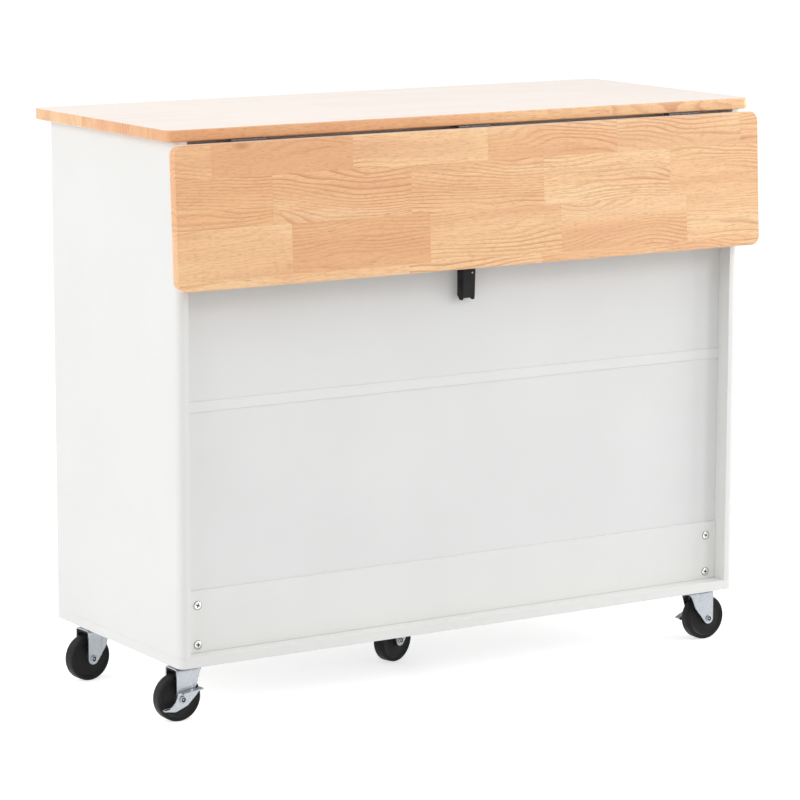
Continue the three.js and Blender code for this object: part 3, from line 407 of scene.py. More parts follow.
@dataclass(frozen=True)
class Metal:
    """Plated steel: faint mottling of the plate, and fine stamping marks."""

    name: str
    slot: Slot
    colour: tuple[float, float, float]
    roughness: float
    mottle: float = 0.05
    grain: float = 260.0

    def build(self) -> Finish:
        """Builds the node material."""
        graph = NodeGraph(bpy.data.materials.new(self.name))
        spot = graph.place()
        cloud = graph.noise(spot, self.grain, 4.0, 0.4)
        dark = tuple(channel * (1 - 2 * self.mottle) for channel in self.colour)
        shade = graph.ramp(cloud, ((0.32, dark), (0.68, self.colour)))
        rough = graph.ranged(cloud, 0.3, 0.7, (self.roughness + 0.08, self.roughness - 0.04))
        graph.bump(graph.noise(spot, 1500.0, 2.0), 0.00002)
        inputs = {"Base Color": shade, "Roughness": rough, "Metallic": 1.0}
        return graph.surface(inputs), self.slot


@dataclass(frozen=True)
class PowderCoat:
    """Black powder-coated steel: a fine leathery texture with worn, lighter high spots."""

    name: str
    slot: Slot
    colour: tuple[float, float, float]
    roughness: float
    scale: float
    depth: float
    gloss: float = 0.18

    def build(self) -> Finish:
        """Builds the node material."""
        graph = NodeGraph(bpy.data.materials.new(self.name))
        spot = graph.place()
        texture = graph.noise(spot, self.scale, 3.0)
        light = tuple(channel * 1.7 for channel in self.colour)
        shade = graph.ramp(graph.noise(spot, self.scale / 12, 3.0), (
            (0.35, self.colour), (0.75, light)
        ))
        rough = graph.ranged(texture, 0.3, 0.7, (self.roughness + 0.06, self.roughness - 0.06))
        graph.bump(texture, self.depth)
        inputs = {"Base Color": shade, "Roughness": rough, "Specular IOR Level": self.gloss}
        return graph.surface(inputs), self.slot


class Finishes:
    """Every finish of the island, built once each."""

    def __init__(self) -> None:
        """Builds all materials."""
        down = Vector((0, -sin(LEAN), -cos(LEAN)))
        inward = Vector((0, cos(LEAN), -sin(LEAN)))
        leaf = (0.0, -down.dot(LEAF_PIN) - 0.00125, -inward.dot(LEAF_PIN))
        self.board = Laminate("white laminate", Slot.WHITE_BOARD, (0.80, 0.80, 0.785)).build()
        self.panel = Laminate(
            "white back panel", Slot.WHITE_PANEL, (0.78, 0.785, 0.78), 0.5, 0.00005
        ).build()
        self.leaf = StaveWood("leaf staves", leaf, pi / 2 + LEAN, 0.0248, 12590231.0).build()
        self.top = StaveWood("top staves", (0.0, 0.2056, 0.0), 0.0, 0.03, 5836175.0).build()
        self.zinc = Metal("zinc plate", Slot.ZINC, (0.44, 0.47, 0.50), 0.30, 0.04).build()
        # Hinge steel is the zinc darkened to 0.13: painted shade of the gap between top and leaf,
        # where the silver hinges sit.
        self.hinge = Metal("hinge steel", Slot.ZINC, (0.13, 0.13, 0.135), 0.45).build()
        self.bright = Metal("bright zinc", Slot.NICKEL, (0.86, 0.86, 0.85), 0.28).build()
        self.nickel = Metal(
            "satin nickel", Slot.NICKEL, (0.66, 0.65, 0.62), 0.26, 0.05, 400.0
        ).build()
        self.black = PowderCoat(
            "black powder coat", Slot.BLACK_STEEL, (0.009, 0.009, 0.010), 0.45, 900.0, 0.00004
        ).build()
        self.rubber = PowderCoat(
            "black wheel plastic", Slot.BLACK_RUBBER, (0.010, 0.010, 0.011), 0.50, 400.0, 0.00003
        ).build()
        # Near-black for the thin rings round the rail screws' heads, taken as washers and also
        # painting the shade round them, and for painted shade: plugs in the screws' cross recesses
        # and discs in the axle rivets' rims.
        self.recess = PowderCoat(
            "dark recess", Slot.BLACK_STEEL, (0.006, 0.006, 0.006), 0.60, 900.0, 0.00002
        ).build()
        self.runner = Laminate(
            "runner plastic", Slot.RUNNER_PLASTIC, (0.85, 0.85, 0.83), 0.35, 0.00001
        ).build()


# ---------------------------------------------------------------- Surfaces


def grid_faces(rows: int, columns: int, wrap_columns: bool, start: int) -> np.ndarray:
    """Quads over a grid of points.

    The quad at (i, j) joins the points (i, j), (i, j+1), (i+1, j+1) and (i+1, j), with j
    counted round the grid where its columns wrap.

    Args:
        rows: number of rows.
        columns: number of columns.
        wrap_columns: whether the last column joins the first.
        start: number of the grid's first point.

    Returns:
        One row of four point numbers for each quad.
    """
    i, j = np.meshgrid(
        np.arange(rows - 1), np.arange(columns if wrap_columns else columns - 1), indexing="ij"
    )
    ahead = (j + 1) % columns
    quads = np.stack(
        (i * columns + j, i * columns + ahead, (i + 1) * columns + ahead, (i + 1) * columns + j),
        axis=-1,
    )
    return quads.reshape(-1, 4) + start


def finish_mesh(mesh: bpy.types.Mesh, dissolve: bool, sharp: float) -> None:
    """Welds seams and poles, points the faces outward and sets smooth shading.

    Args:
        mesh: the mesh to finish.
        dissolve: whether flat neighbours are merged into larger faces.
        sharp: edges steeper than this angle in degrees stay sharp.
    """
    work = bmesh.new()
    work.from_mesh(mesh)
    bmesh.ops.remove_doubles(work, verts=work.verts, dist=1e-6)
    if dissolve:
        bmesh.ops.dissolve_limit(
            work, angle_limit=radians(0.5), verts=work.verts, edges=work.edges
        )
    bmesh.ops.recalc_face_normals(work, faces=work.faces)
    work.to_mesh(mesh)
    work.free()
    mesh.polygons.foreach_set("use_smooth", np.ones(len(mesh.polygons), dtype=bool))
    mesh.set_sharp_from_angle(angle=radians(sharp))
    mesh.update()


def surface(name: str, grids: Sequence[np.ndarray], wrap: bool = True, sharp: float = 40.0
            ) -> bpy.types.Object:
    """One object from grids of points in metres.

    Args:
        name: the piece's name.
        grids: arrays of (rows, columns, 3).
        wrap: whether each grid's last column joins its first.
        sharp: edges steeper than this angle in degrees stay sharp.

    Returns:
        The new object.
    """
    counts = np.cumsum([0, *(grid.shape[0] * grid.shape[1] for grid in grids)])
    points = np.concatenate([grid.reshape(-1, 3) for grid in grids])
    faces = np.concatenate([
        grid_faces(grid.shape[0], grid.shape[1], wrap, start)
        for grid, start in zip(grids, counts)
    ])
    mesh = bpy.data.meshes.new(name)
    mesh.from_pydata(points.tolist(), [], faces.tolist())
    finish_mesh(mesh, False, sharp)
    return bpy.data.objects.new(name, mesh)


def basis(axis: Axis) -> np.ndarray:
    """Rows: two directions across an axis, then the axis itself, right-handed."""
    along = np.array(axis.value)
    across = np.array((0.0, 0.0, 1.0)) if abs(along[2]) < 0.5 else np.array((1.0, 0.0, 0.0))
    return np.stack((across, np.cross(along, across), along))


def placed(points: np.ndarray, place: Sequence[float], axis: Axis) -> np.ndarray:
    """Points drawn about +Z, turned to an axis and moved; all in metres."""
    return points @ basis(axis) + np.array(place)


def lathe(profile: Profile, place: Sequence[float], axis: Axis, sides: int = 48) -> np.ndarray:
    """Turned surface: (r, h) goes to (r cos a, r sin a, h) for each angle a of a full turn.

    Args:
        profile: radius and height of each ring in millimetres, with both ends at radius 0
            or with the last ring on the first.
        place: the axis's own origin, in metres.
        axis: the direction of the height.
        sides: number of angles.

    Returns:
        Grid of points in metres.
    """
    ring = np.array(profile) * MM
    angle = np.linspace(0, 2 * pi, sides, endpoint=False)
    points = np.stack(
        (
            np.outer(ring[:, 0], np.cos(angle)),
            np.outer(ring[:, 0], np.sin(angle)),
            np.repeat(ring[:, 1:2], sides, axis=1),
        ),
        axis=-1,
    )
    return placed(points, place, axis)


def fillet(corner: tuple[float, float], radius: float, start: float, turn: float, steps: int = 5
           ) -> list[tuple[float, float]]:
    """Arc of a profile: centre + radius (cos, sin) from an angle through a turn, in degrees."""
    angle = np.radians(np.linspace(start, start + turn, steps))
    return [(corner[0] + radius * cos(a), corner[1] + radius * sin(a)) for a in angle]


@dataclass(frozen=True)
class Screw:
    """Cross-recessed screw head, millimetres."""

    radius: float
    height: float
    rings: int = 14
    sides: int = 40

    def grid(self, place: Sequence[float], axis: Axis, turn: float = 0.4) -> np.ndarray:
        """Head as a polar grid: z = height (1 - rho^3), less a cross-shaped recess.

        The recess is deepest where the smaller of |x| and |y| is under an arm's half width
        and the larger is within the arm's reach, with soft walls.

        Args:
            place: middle of the head's underside, in metres.
            axis: the direction that the head faces.
            turn: turn of the cross in radians.

        Returns:
            Grid of points in metres.
        """
        rho = np.concatenate(([0.0, 1.0, 1.0], np.linspace(0.97, 0.0, self.rings)))
        dome = self.height * (1 - 0.65 * rho**3)
        dome[:3] = (0.0, 0.0, self.height * 0.25)
        angle = np.linspace(0, 2 * pi, self.sides, endpoint=False)
        x = np.outer(rho, np.cos(angle))
        y = np.outer(rho, np.sin(angle))
        narrow = np.minimum(np.abs(x), np.abs(y))
        reach = np.maximum(np.abs(x), np.abs(y))
        wall = np.clip((0.17 - narrow) / 0.10, 0, 1) * np.clip((0.62 - reach) / 0.12, 0, 1)
        height = np.repeat(dome[:, None], self.sides, axis=1)
        height[3:] -= (wall * self.height * 0.8)[3:]
        swing = np.array(((cos(turn), -sin(turn)), (sin(turn), cos(turn))))
        flat = np.stack((x, y), axis=-1) @ swing * self.radius
        points = np.concatenate((flat, height[..., None]), axis=-1) * MM
        return placed(points, place, axis)


# ---------------------------------------------------------------- Dressing the frame


def body_names() -> dict[str, str]:
    """Name of the body that carries each CAD node."""
    bodies = {empty: name for name, empty in frame["bodies"].items()}
    return {node: bodies[obj.parent] for node, obj in frame["nodes"].items()}


BODY_OF = body_names()


def dress(
    piece: bpy.types.Object, finish: Finish, body: str, replaced: Sequence[str] = ()
) -> bpy.types.Object:
    """Gives a new piece its finish's material and its body.

    Args:
        piece: the new object.
        finish: its material and slot; the slot is not used.
        body: the body that it rides on.
        replaced: the CAD nodes that it stands for.

    Returns:
        The same object.
    """
    material, slot = finish
    bpy.context.scene.collection.objects.link(piece)
    piece.data.materials.clear()
    piece.data.materials.append(material)
    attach(piece, body)
    if replaced:
        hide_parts(*replaced)
    LOG.info("%s rides on %s: %d faces", piece.name, body, len(piece.data.polygons))
    return piece


def bevel(piece: bpy.types.Object, width: float, segments: int = 2, angle: float = 30.0) -> None:
    """Rounds a piece's arrises.

    Args:
        piece: the object.
        width: width of the rounding in millimetres.
        segments: number of strips.
        angle: edges steeper than this angle in degrees are rounded.
    """
    modifier = piece.modifiers.new("eased arrises", "BEVEL")
    modifier.width = width * MM
    modifier.segments = segments
    modifier.limit_method = "ANGLE"
    modifier.angle_limit = radians(angle)
    modifier.use_clamp_overlap = False
    modifier.harden_normals = True


@dataclass
class EasedCopy:
    """Copy of a CAD node with rounded arrises.

    The width is the rounding's, in millimetres, and segments its number of strips. Flat
    neighbours are merged first, except on a bored or slotted piece, whose merged faces fill badly.
    """

    node: str
    width: float = 0.6
    segments: int = 2
    merged: bool = True

    def build(self, finish: Finish) -> bpy.types.Object:
        """Builds the copy, which stands for its node.

        Args:
            finish: its material and slot.

        Returns:
            The new object.
        """
        mesh = frame["nodes"][self.node].data.copy()
        mesh.name = f"{self.node}_eased"
        finish_mesh(mesh, self.merged, 32.0)
        piece = bpy.data.objects.new(f"{self.node}_eased", mesh)
        bevel(piece, self.width, self.segments)
        return dress(piece, finish, BODY_OF[self.node], (self.node,))


def centre(node: str) -> Vector:
    """Middle of a node's box."""
    low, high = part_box(node)
    return (low + high) / 2


# ---------------------------------------------------------------- Cabinet


@dataclass
class Carcass:
    """White boards of the cabinet, the back, and what fastens them."""

    finishes: Finishes
    boards: tuple[str, ...] = (
        "bottom_board",
        "left_side_panel",
        "right_side_panel",
        "center_divider",
        "top_rear_stretcher",
        "top_front_stretcher",
        "left_shelf",
        "right_shelf",
    )
    panels: tuple[str, ...] = ("lower_back_panel", "upper_back_panel")
    rail_screw: Screw = Screw(6.4, 2.0, 20, 56)
    rail_screw_insets: tuple[float, float] = (26.0, 21.0)
    rail_screw_heights: tuple[float, ...] = (13.0, 75.0)
    shelf_pin: Profile = ((0, 0), (4.0, 0), (4.0, 1.2), (2.5, 1.4), (2.5, 8.6), (2.0, 9.0), (0, 9))
    shelf_pin_insets: tuple[float, ...] = (45.0, 50.0)

    def build(self) -> None:
        """Builds every piece of the carcass."""
        for name in self.boards:
            EasedCopy(name, 0.5).build(self.finishes.board)
        for name in self.panels:
            EasedCopy(name, 0.3, 1).build(self.finishes.panel)
        EasedCopy("back_joiner_strip", 0.35).build(self.finishes.board)
        EasedCopy("back_bottom_rail", 1.0).build(self.finishes.board)
        self.rail_screws()
        self.shelf_pins()

    def rail_screws(self) -> None:
        """Two screws at each end of the back rail, let into its face."""
        low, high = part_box("back_bottom_rail")
        left, right = self.rail_screw_insets
        spots = [
            (x, low.y, low.z + height * MM, 0.1 + height / 300)
            for x in (low.x + left * MM, high.x - right * MM)
            for height in self.rail_screw_heights
        ]
        heads = [
            self.rail_screw.grid((x, y + 0.0003, z), Axis.MINUS_Y, turn) for x, y, z, turn in spots
        ]
        dress(surface("back_rail_screws", heads), self.finishes.bright, "cabinet")
        # Dark pieces: a thin ring round each head, taken as a washer and also painting the shade
        # round it, and a plug in each cross recess that paints the recess's shade.
        dark = [
            lathe(((0, 0), (7.0, 0), (7.0, 0.35), (6.7, 0.5), (0, 0.5)), (x, y, z), Axis.MINUS_Y)
            for x, y, z, _ in spots
        ]
        dark += [self.cross((x, y - 0.0009, z), turn) for x, y, z, turn in spots]
        dress(surface("back_rail_rings_and_painted_shade", dark), self.finishes.recess, "cabinet")

    def cross(self, place: Sequence[float], turn: float) -> np.ndarray:
        """Dark plug that paints the shade in the bottom of a cross recess: radius at angle a is a
        four-armed star, closed flat.

        The star's radius is width / |sin(2 a)| held under the arms' reach.
        """
        angle = np.linspace(0, 2 * pi, 64, endpoint=False)
        reach = np.minimum(1.2 / np.maximum(np.abs(np.sin(2 * angle)), 0.05) + 0.4, 4.6)
        radius = np.stack((np.zeros(64), reach, reach, np.zeros(64)))
        height = np.repeat(np.array((0.0, 0.0, 0.25, 0.25))[:, None], 64, axis=1)
        points = np.stack(
            (radius * np.cos(angle + turn), radius * np.sin(angle + turn), height), axis=-1
        )
        return placed(points * MM, place, Axis.MINUS_Y)

    def shelf_pins(self) -> None:
        """Four turned pins under each shelf, in the side panel and the divider."""
        grids = []
        for name in ("left_shelf", "right_shelf"):
            low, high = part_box(name)
            z = low.z - 2.5 * MM
            rear, front = (inset * MM for inset in self.shelf_pin_insets)
            for y in (low.y + rear, high.y - front):
                grids.append(lathe(self.shelf_pin, (low.x, y, z), Axis.X, 20))
                grids.append(lathe(self.shelf_pin, (high.x, y, z), Axis.MINUS_X, 20))
        dress(surface("shelf_pins", grids), self.finishes.nickel, "cabinet")


# ---------------------------------------------------------------- Wood boards and hinges


@dataclass
class WoodBoard:
    """Board with rounded corners in plan and a rounded arris all round, millimetres."""

    name: str
    half_length: float
    near: float
    far: float
    under: float
    over: float
    corner: float
    round_over: float = 2.2

    def points(self) -> np.ndarray:
        """Grid of the board's skin in its own frame.

        A rounded rectangle shrinks by an inset t: each corner's arc keeps its middle and its
        radius becomes corner - t. The pair (t, height) runs from the middle of one broad face
        round the edge to the other.

        Returns:
            Grid of points in metres.
        """
        arc = np.linspace(0, pi / 2, 13)
        quarter = np.arange(4)[:, None] * pi / 2
        angle = (arc[None, :] + quarter).ravel()
        reach = self.half_length - self.corner
        middle = np.repeat(
            np.array((
                (reach, self.far - self.corner),
                (-reach, self.far - self.corner),
                (-reach, self.near + self.corner),
                (reach, self.near + self.corner),
            )),
            13,
            axis=0,
        )
        soft = self.round_over
        curve = np.linspace(0, pi / 2, 6)
        lower = np.stack((soft * (1 - np.sin(curve)), self.under + soft * (1 - np.cos(curve))), 1)
        inset = np.concatenate(([[soft + 1.0, self.under]], lower))
        upper = np.stack((inset[::-1, 0], self.under + self.over - inset[::-1, 1]), 1)
        profile = np.concatenate((inset, upper))
        radius = self.corner - profile[:, 0]
        x = middle[None, :, 0] + radius[:, None] * np.cos(angle)[None, :]
        y = middle[None, :, 1] + radius[:, None] * np.sin(angle)[None, :]
        z = np.repeat(profile[:, 1:2], angle.size, axis=1)
        return np.stack((x, y, z), axis=-1) * MM

    def build(self, move: Matrix) -> bpy.types.Object:
        """Board with its two broad faces closed, carried to its place.

        Args:
            move: from the board's own frame to the island's.

        Returns:
            The new object.
        """
        grid = self.points()
        rows, columns = grid.shape[:2]
        faces = grid_faces(rows, columns, True, 0).tolist()
        faces.append(list(range(columns)))
        faces.append(list(range((rows - 1) * columns, rows * columns)))
        mesh = bpy.data.meshes.new(self.name)
        mesh.from_pydata(grid.reshape(-1, 3).tolist(), [], faces)
        mesh.transform(move)
        finish_mesh(mesh, False, 60.0)
        return bpy.data.objects.new(self.name, mesh)


@dataclass
class Wood:
    """Countertop and drop leaf."""

    finishes: Finishes
    half_length: float = 545.5
    # Near and far edge, underside and upper face, from the hinge's pin
    leaf_sides: tuple[float, ...] = (-220.75, -1.25, 2.5, 20.5)
    leaf_corner: float = 15.0
    top_corner: float = 13.0

    def build(self) -> None:
        """Builds both boards."""
        low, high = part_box("countertop")
        sides = (low.y / MM, high.y / MM, low.z / MM, high.z / MM)
        top = WoodBoard(
            "countertop_board", self.half_length, *sides, self.top_corner
        ).build(Matrix())
        dress(top, self.finishes.top, "cabinet", ("countertop",))
        let_down = Matrix.Translation(LEAF_PIN) @ Matrix.Rotation(pi / 2 - LEAN, 4, "X")
        leaf = WoodBoard(
            "drop_leaf_board", self.half_length, *self.leaf_sides, self.leaf_corner
        ).build(let_down)
        dress(leaf, self.finishes.leaf, "leaf", ("drop_leaf",))


@dataclass
class LeafHinges:
    """Three butt hinges: eased plates, turned knuckles and their screws."""

    finishes: Finishes
    names: tuple[str, ...] = ("left", "center", "right")
    knuckle: float = 2.56
    length: float = 60.0
    screw: Screw = Screw(3.4, 0.9, 10, 32)
    screw_rows: tuple[tuple[float, float], ...] = ((-20.0, 12.0), (0.0, 20.0), (20.0, 12.0))

    def build(self) -> None:
        """Builds all three hinges."""
        for name in self.names:
            x = centre(f"{name}_hinge_top_plate").x
            for part in ("top", "leaf"):
                EasedCopy(f"{name}_hinge_{part}_plate", 0.35).build(self.finishes.hinge)
            self.knuckles(f"{name}_hinge_fixed_knuckles", x, 0, "cabinet")
            self.knuckles(f"{name}_hinge_moving_knuckles", x, 1, "leaf")
            self.screws(name, x)

    def knuckles(self, name: str, x: float, first: int, body: str) -> None:
        """Rolled knuckles of one half: every second fifth of the hinge's length.

        Args:
            name: the piece's name.
            x: middle of the hinge.
            first: number of the first knuckle.
            body: the body that this half rides on.
        """
        step = self.length / 5
        r = self.knuckle
        ring = ((0, 0.2), (r - 0.5, 0.2), (r, 0.7), (r, step - 0.7), (r - 0.5, step - 0.2),
                (0, step - 0.2))
        starts = [x + (index * step - self.length / 2) * MM for index in range(first, 5, 2)]
        grids = [lathe(ring, (start, LEAF_PIN.y, LEAF_PIN.z), Axis.X, 24) for start in starts]
        dress(surface(name, grids), self.finishes.hinge, body)

    def screws(self, name: str, x: float) -> None:
        """Three screws in each plate, heads on the plate's open face."""
        plate_z = LEAF_PIN.z + 0.5 * MM
        fixed = [
            self.screw.grid((x + u * MM, LEAF_PIN.y + v * MM, plate_z), Axis.MINUS_Z, u)
            for u, v in self.screw_rows
        ]
        dress(surface(f"{name}_hinge_top_screws", fixed), self.finishes.nickel, "cabinet")
        turn = Matrix.Translation(LEAF_PIN) @ Matrix.Rotation(pi / 2 - LEAN, 4, "X")
        moving = [
            self.screw.grid((x + u * MM, -v * MM, 0.2 * MM), Axis.MINUS_Z, u)
            for u, v in self.screw_rows
        ]
        piece = surface(f"{name}_hinge_leaf_screws", moving)
        piece.data.transform(turn)
        dress(piece, self.finishes.nickel, "leaf")


# ---------------------------------------------------------------- Support bracket


@dataclass
class Bracket:
    """Folding support bracket of black steel."""

    finishes: Finishes
    rivet: float = 4.6
    nose_rivet: float = 1.5
    nose_rivet_place: tuple[float, float] = (5.0, 44.0)

    def build(self) -> None:
        """Builds the bracket's pieces."""
        for name in ("bracket_channel", "bracket_arm", "bracket_strut"):
            EasedCopy(name, 0.3, 2, False).build(self.finishes.black)
        self.pivot_heads()
        self.nose_head()

    def dome(self, radius: float) -> Profile:
        """Low domed rivet head of a radius in millimetres."""
        return (
            (0, 0), (radius, 0), (radius, 0.4), (radius * 0.85, 1.0), (radius * 0.5, 1.4), (0, 1.5)
        )

    def pivot_heads(self) -> None:
        """Domed rivet head on each flank of the channel, at the arm's pivot."""
        low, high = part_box("bracket_channel")
        pivot = PIVOT["arm_pivot"]
        inset = 1.5 * MM
        grids = [
            lathe(self.dome(self.rivet), (low.x + inset, pivot.y, pivot.z), Axis.MINUS_X, 32),
            lathe(self.dome(self.rivet), (high.x - inset, pivot.y, pivot.z), Axis.X, 32),
        ]
        dress(surface("bracket_rivet_heads", grids), self.finishes.black, "cabinet")

    def nose_head(self) -> None:
        """Small bright rivet in the nose of the channel."""
        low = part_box("bracket_channel")[0]
        across, up = self.nose_rivet_place
        height = low.z + up * MM
        place = (PIVOT["arm_pivot"].x + across * MM, self.nose_face(height), height)
        head = lathe(self.dome(self.nose_rivet), place, Axis.MINUS_Y, 24)
        dress(surface("bracket_nose_rivet", [head]), self.finishes.nickel, "cabinet")

    def nose_face(self, z: float) -> float:
        """Y of the channel's front: the foremost of its points within 12 mm above a height."""
        mesh = frame["nodes"]["bracket_channel"].data
        points = np.empty(len(mesh.vertices) * 3)
        mesh.vertices.foreach_get("co", points)
        points = points.reshape(-1, 3)
        nose = points[(points[:, 2] > z) & (points[:, 2] < z + 0.012)]
        return float(nose[:, 1].min()) + 0.0002


# ---------------------------------------------------------------- Casters


@dataclass
class ForkShell:
    """Stamped fork as a swept section, millimetres, trailing towards -X.

    The mouth is the nose's open angle on each side, and the angle over which it closes. The
    fold is where the wall steps in, over which length, and how deep. The lip is where the lower
    edge starts to flare, and over which length.
    """

    half: float = 18.0
    steel: float = 2.2
    axle: tuple[float, float] = (-24.0, 37.5)
    ear: float = 9.4
    lead: tuple[float, float] = (15.0, 73.5)
    crown: float = 85.0
    mouth: tuple[float, float] = (45.0, 40.0)
    shoulder: float = 4.5
    flare: float = 0.5
    fold: Point = (-9.0, 3.5, 1.1)
    lip: tuple[float, float] = (-14.0, 12.0)
    lip_height: float = 5.0

    def lower_edge(self) -> tuple[np.ndarray, np.ndarray]:
        """Stations along a leg: under the ear's circle, then on its tangent to the lead.

        Returns:
            The stations' x and the height of the fork's lower edge there.
        """
        run = (self.lead[0] - self.axle[0], self.lead[1] - self.axle[1])
        tangent = atan2(run[1], run[0]) - np.arccos(self.ear / hypot(*run))
        angle = np.linspace(-pi, tangent, 22)
        ear_x = self.axle[0] + self.ear * np.cos(angle)
        ear_z = self.axle[1] + self.ear * np.sin(angle)
        line_x = np.linspace(ear_x[-1], 0.0, 18)[1:]
        x = np.concatenate((ear_x, line_x))
        return x, np.concatenate((ear_z, self.slope(line_x, ear_x[-1], ear_z[-1])))

    def slope(self, x: np.ndarray, x0: float, z0: float) -> np.ndarray:
        """Height of the straight leading edge at x, through (x0, z0) and the lead."""
        return z0 + (self.lead[1] - z0) * (x - x0) / (self.lead[0] - x0)

    def grid(self) -> np.ndarray:
        """Skin of the fork: a section carried round a stadium-shaped path.

        The nose is open: its lower edge stays at the shoulder within the mouth's first angle
        of its middle and comes down to the leg's slope over the second.
        Each station has a middle on the fork's centre line and a direction outward. Its
        section climbs the wall at radius half, turns over the shoulder on a quarter circle
        and runs in over the crown to the middle. Near the lower edge the wall flares out by
        flare (1 - s)^2 where s is the distance from the edge over the lip's height. Ahead of
        the fold the whole wall steps in by the fold's depth.

        Returns:
            Grid of points in metres, one row a station.
        """
        leg_x, leg_z = self.lower_edge()
        turn = np.radians(np.linspace(-90, 90, 31))[1:-1]
        nose_z = self.slope(self.half * np.cos(turn), leg_x[-1], leg_z[-1])
        roof = self.crown - self.shoulder - 0.5
        shut = np.clip((np.abs(np.degrees(turn)) - self.mouth[0]) / self.mouth[1], 0, 1)
        nose_z = roof + (nose_z - roof) * shut
        zero = np.zeros_like
        middle = np.concatenate((leg_x, zero(turn), leg_x[::-1]))
        low = np.concatenate((leg_z, nose_z, leg_z[::-1]))
        out_x = np.concatenate((zero(leg_x), np.cos(turn), zero(leg_x)))
        out_y = np.concatenate((-np.ones_like(leg_x), np.sin(turn), np.ones_like(leg_x)))
        climb = np.array((0, 0.02, 0.045, 0.08, 0.2, 0.4, 0.6, 0.8, 1.0))
        bend = np.radians(np.linspace(0, 90, 7))[1:]
        wall_top = self.crown - self.shoulder
        wall = low[:, None] + (wall_top - low[:, None]) * climb[None, :]
        gap = np.clip((wall - low[:, None]) / self.lip_height, 0, 1)
        reach = np.concatenate((leg_x, self.half * np.cos(turn), leg_x[::-1]))
        lip = np.clip((reach - self.lip[0]) / self.lip[1], 0, 1)
        start, length, depth = self.fold
        side = self.half - depth * np.clip((middle - start) / length, 0, 1)[:, None]
        wall_r = side + self.flare * lip[:, None] * (1 - gap) ** 2
        count = (low.size, 1)
        over_r = side - self.shoulder * (1 - np.cos(bend))
        over_z = np.tile(wall_top + self.shoulder * np.sin(bend), count)
        crown_r = np.tile(np.array((8.0, 4.0, 0.0)), count)
        crown_z = np.full_like(crown_r, self.crown)
        radius = np.concatenate((wall_r, over_r, crown_r), axis=1)
        height = np.concatenate((wall, over_z, crown_z), axis=1)
        x = middle[:, None] + radius * out_x[:, None]
        y = radius * out_y[:, None]
        return np.stack((x, y, height), axis=-1) * MM


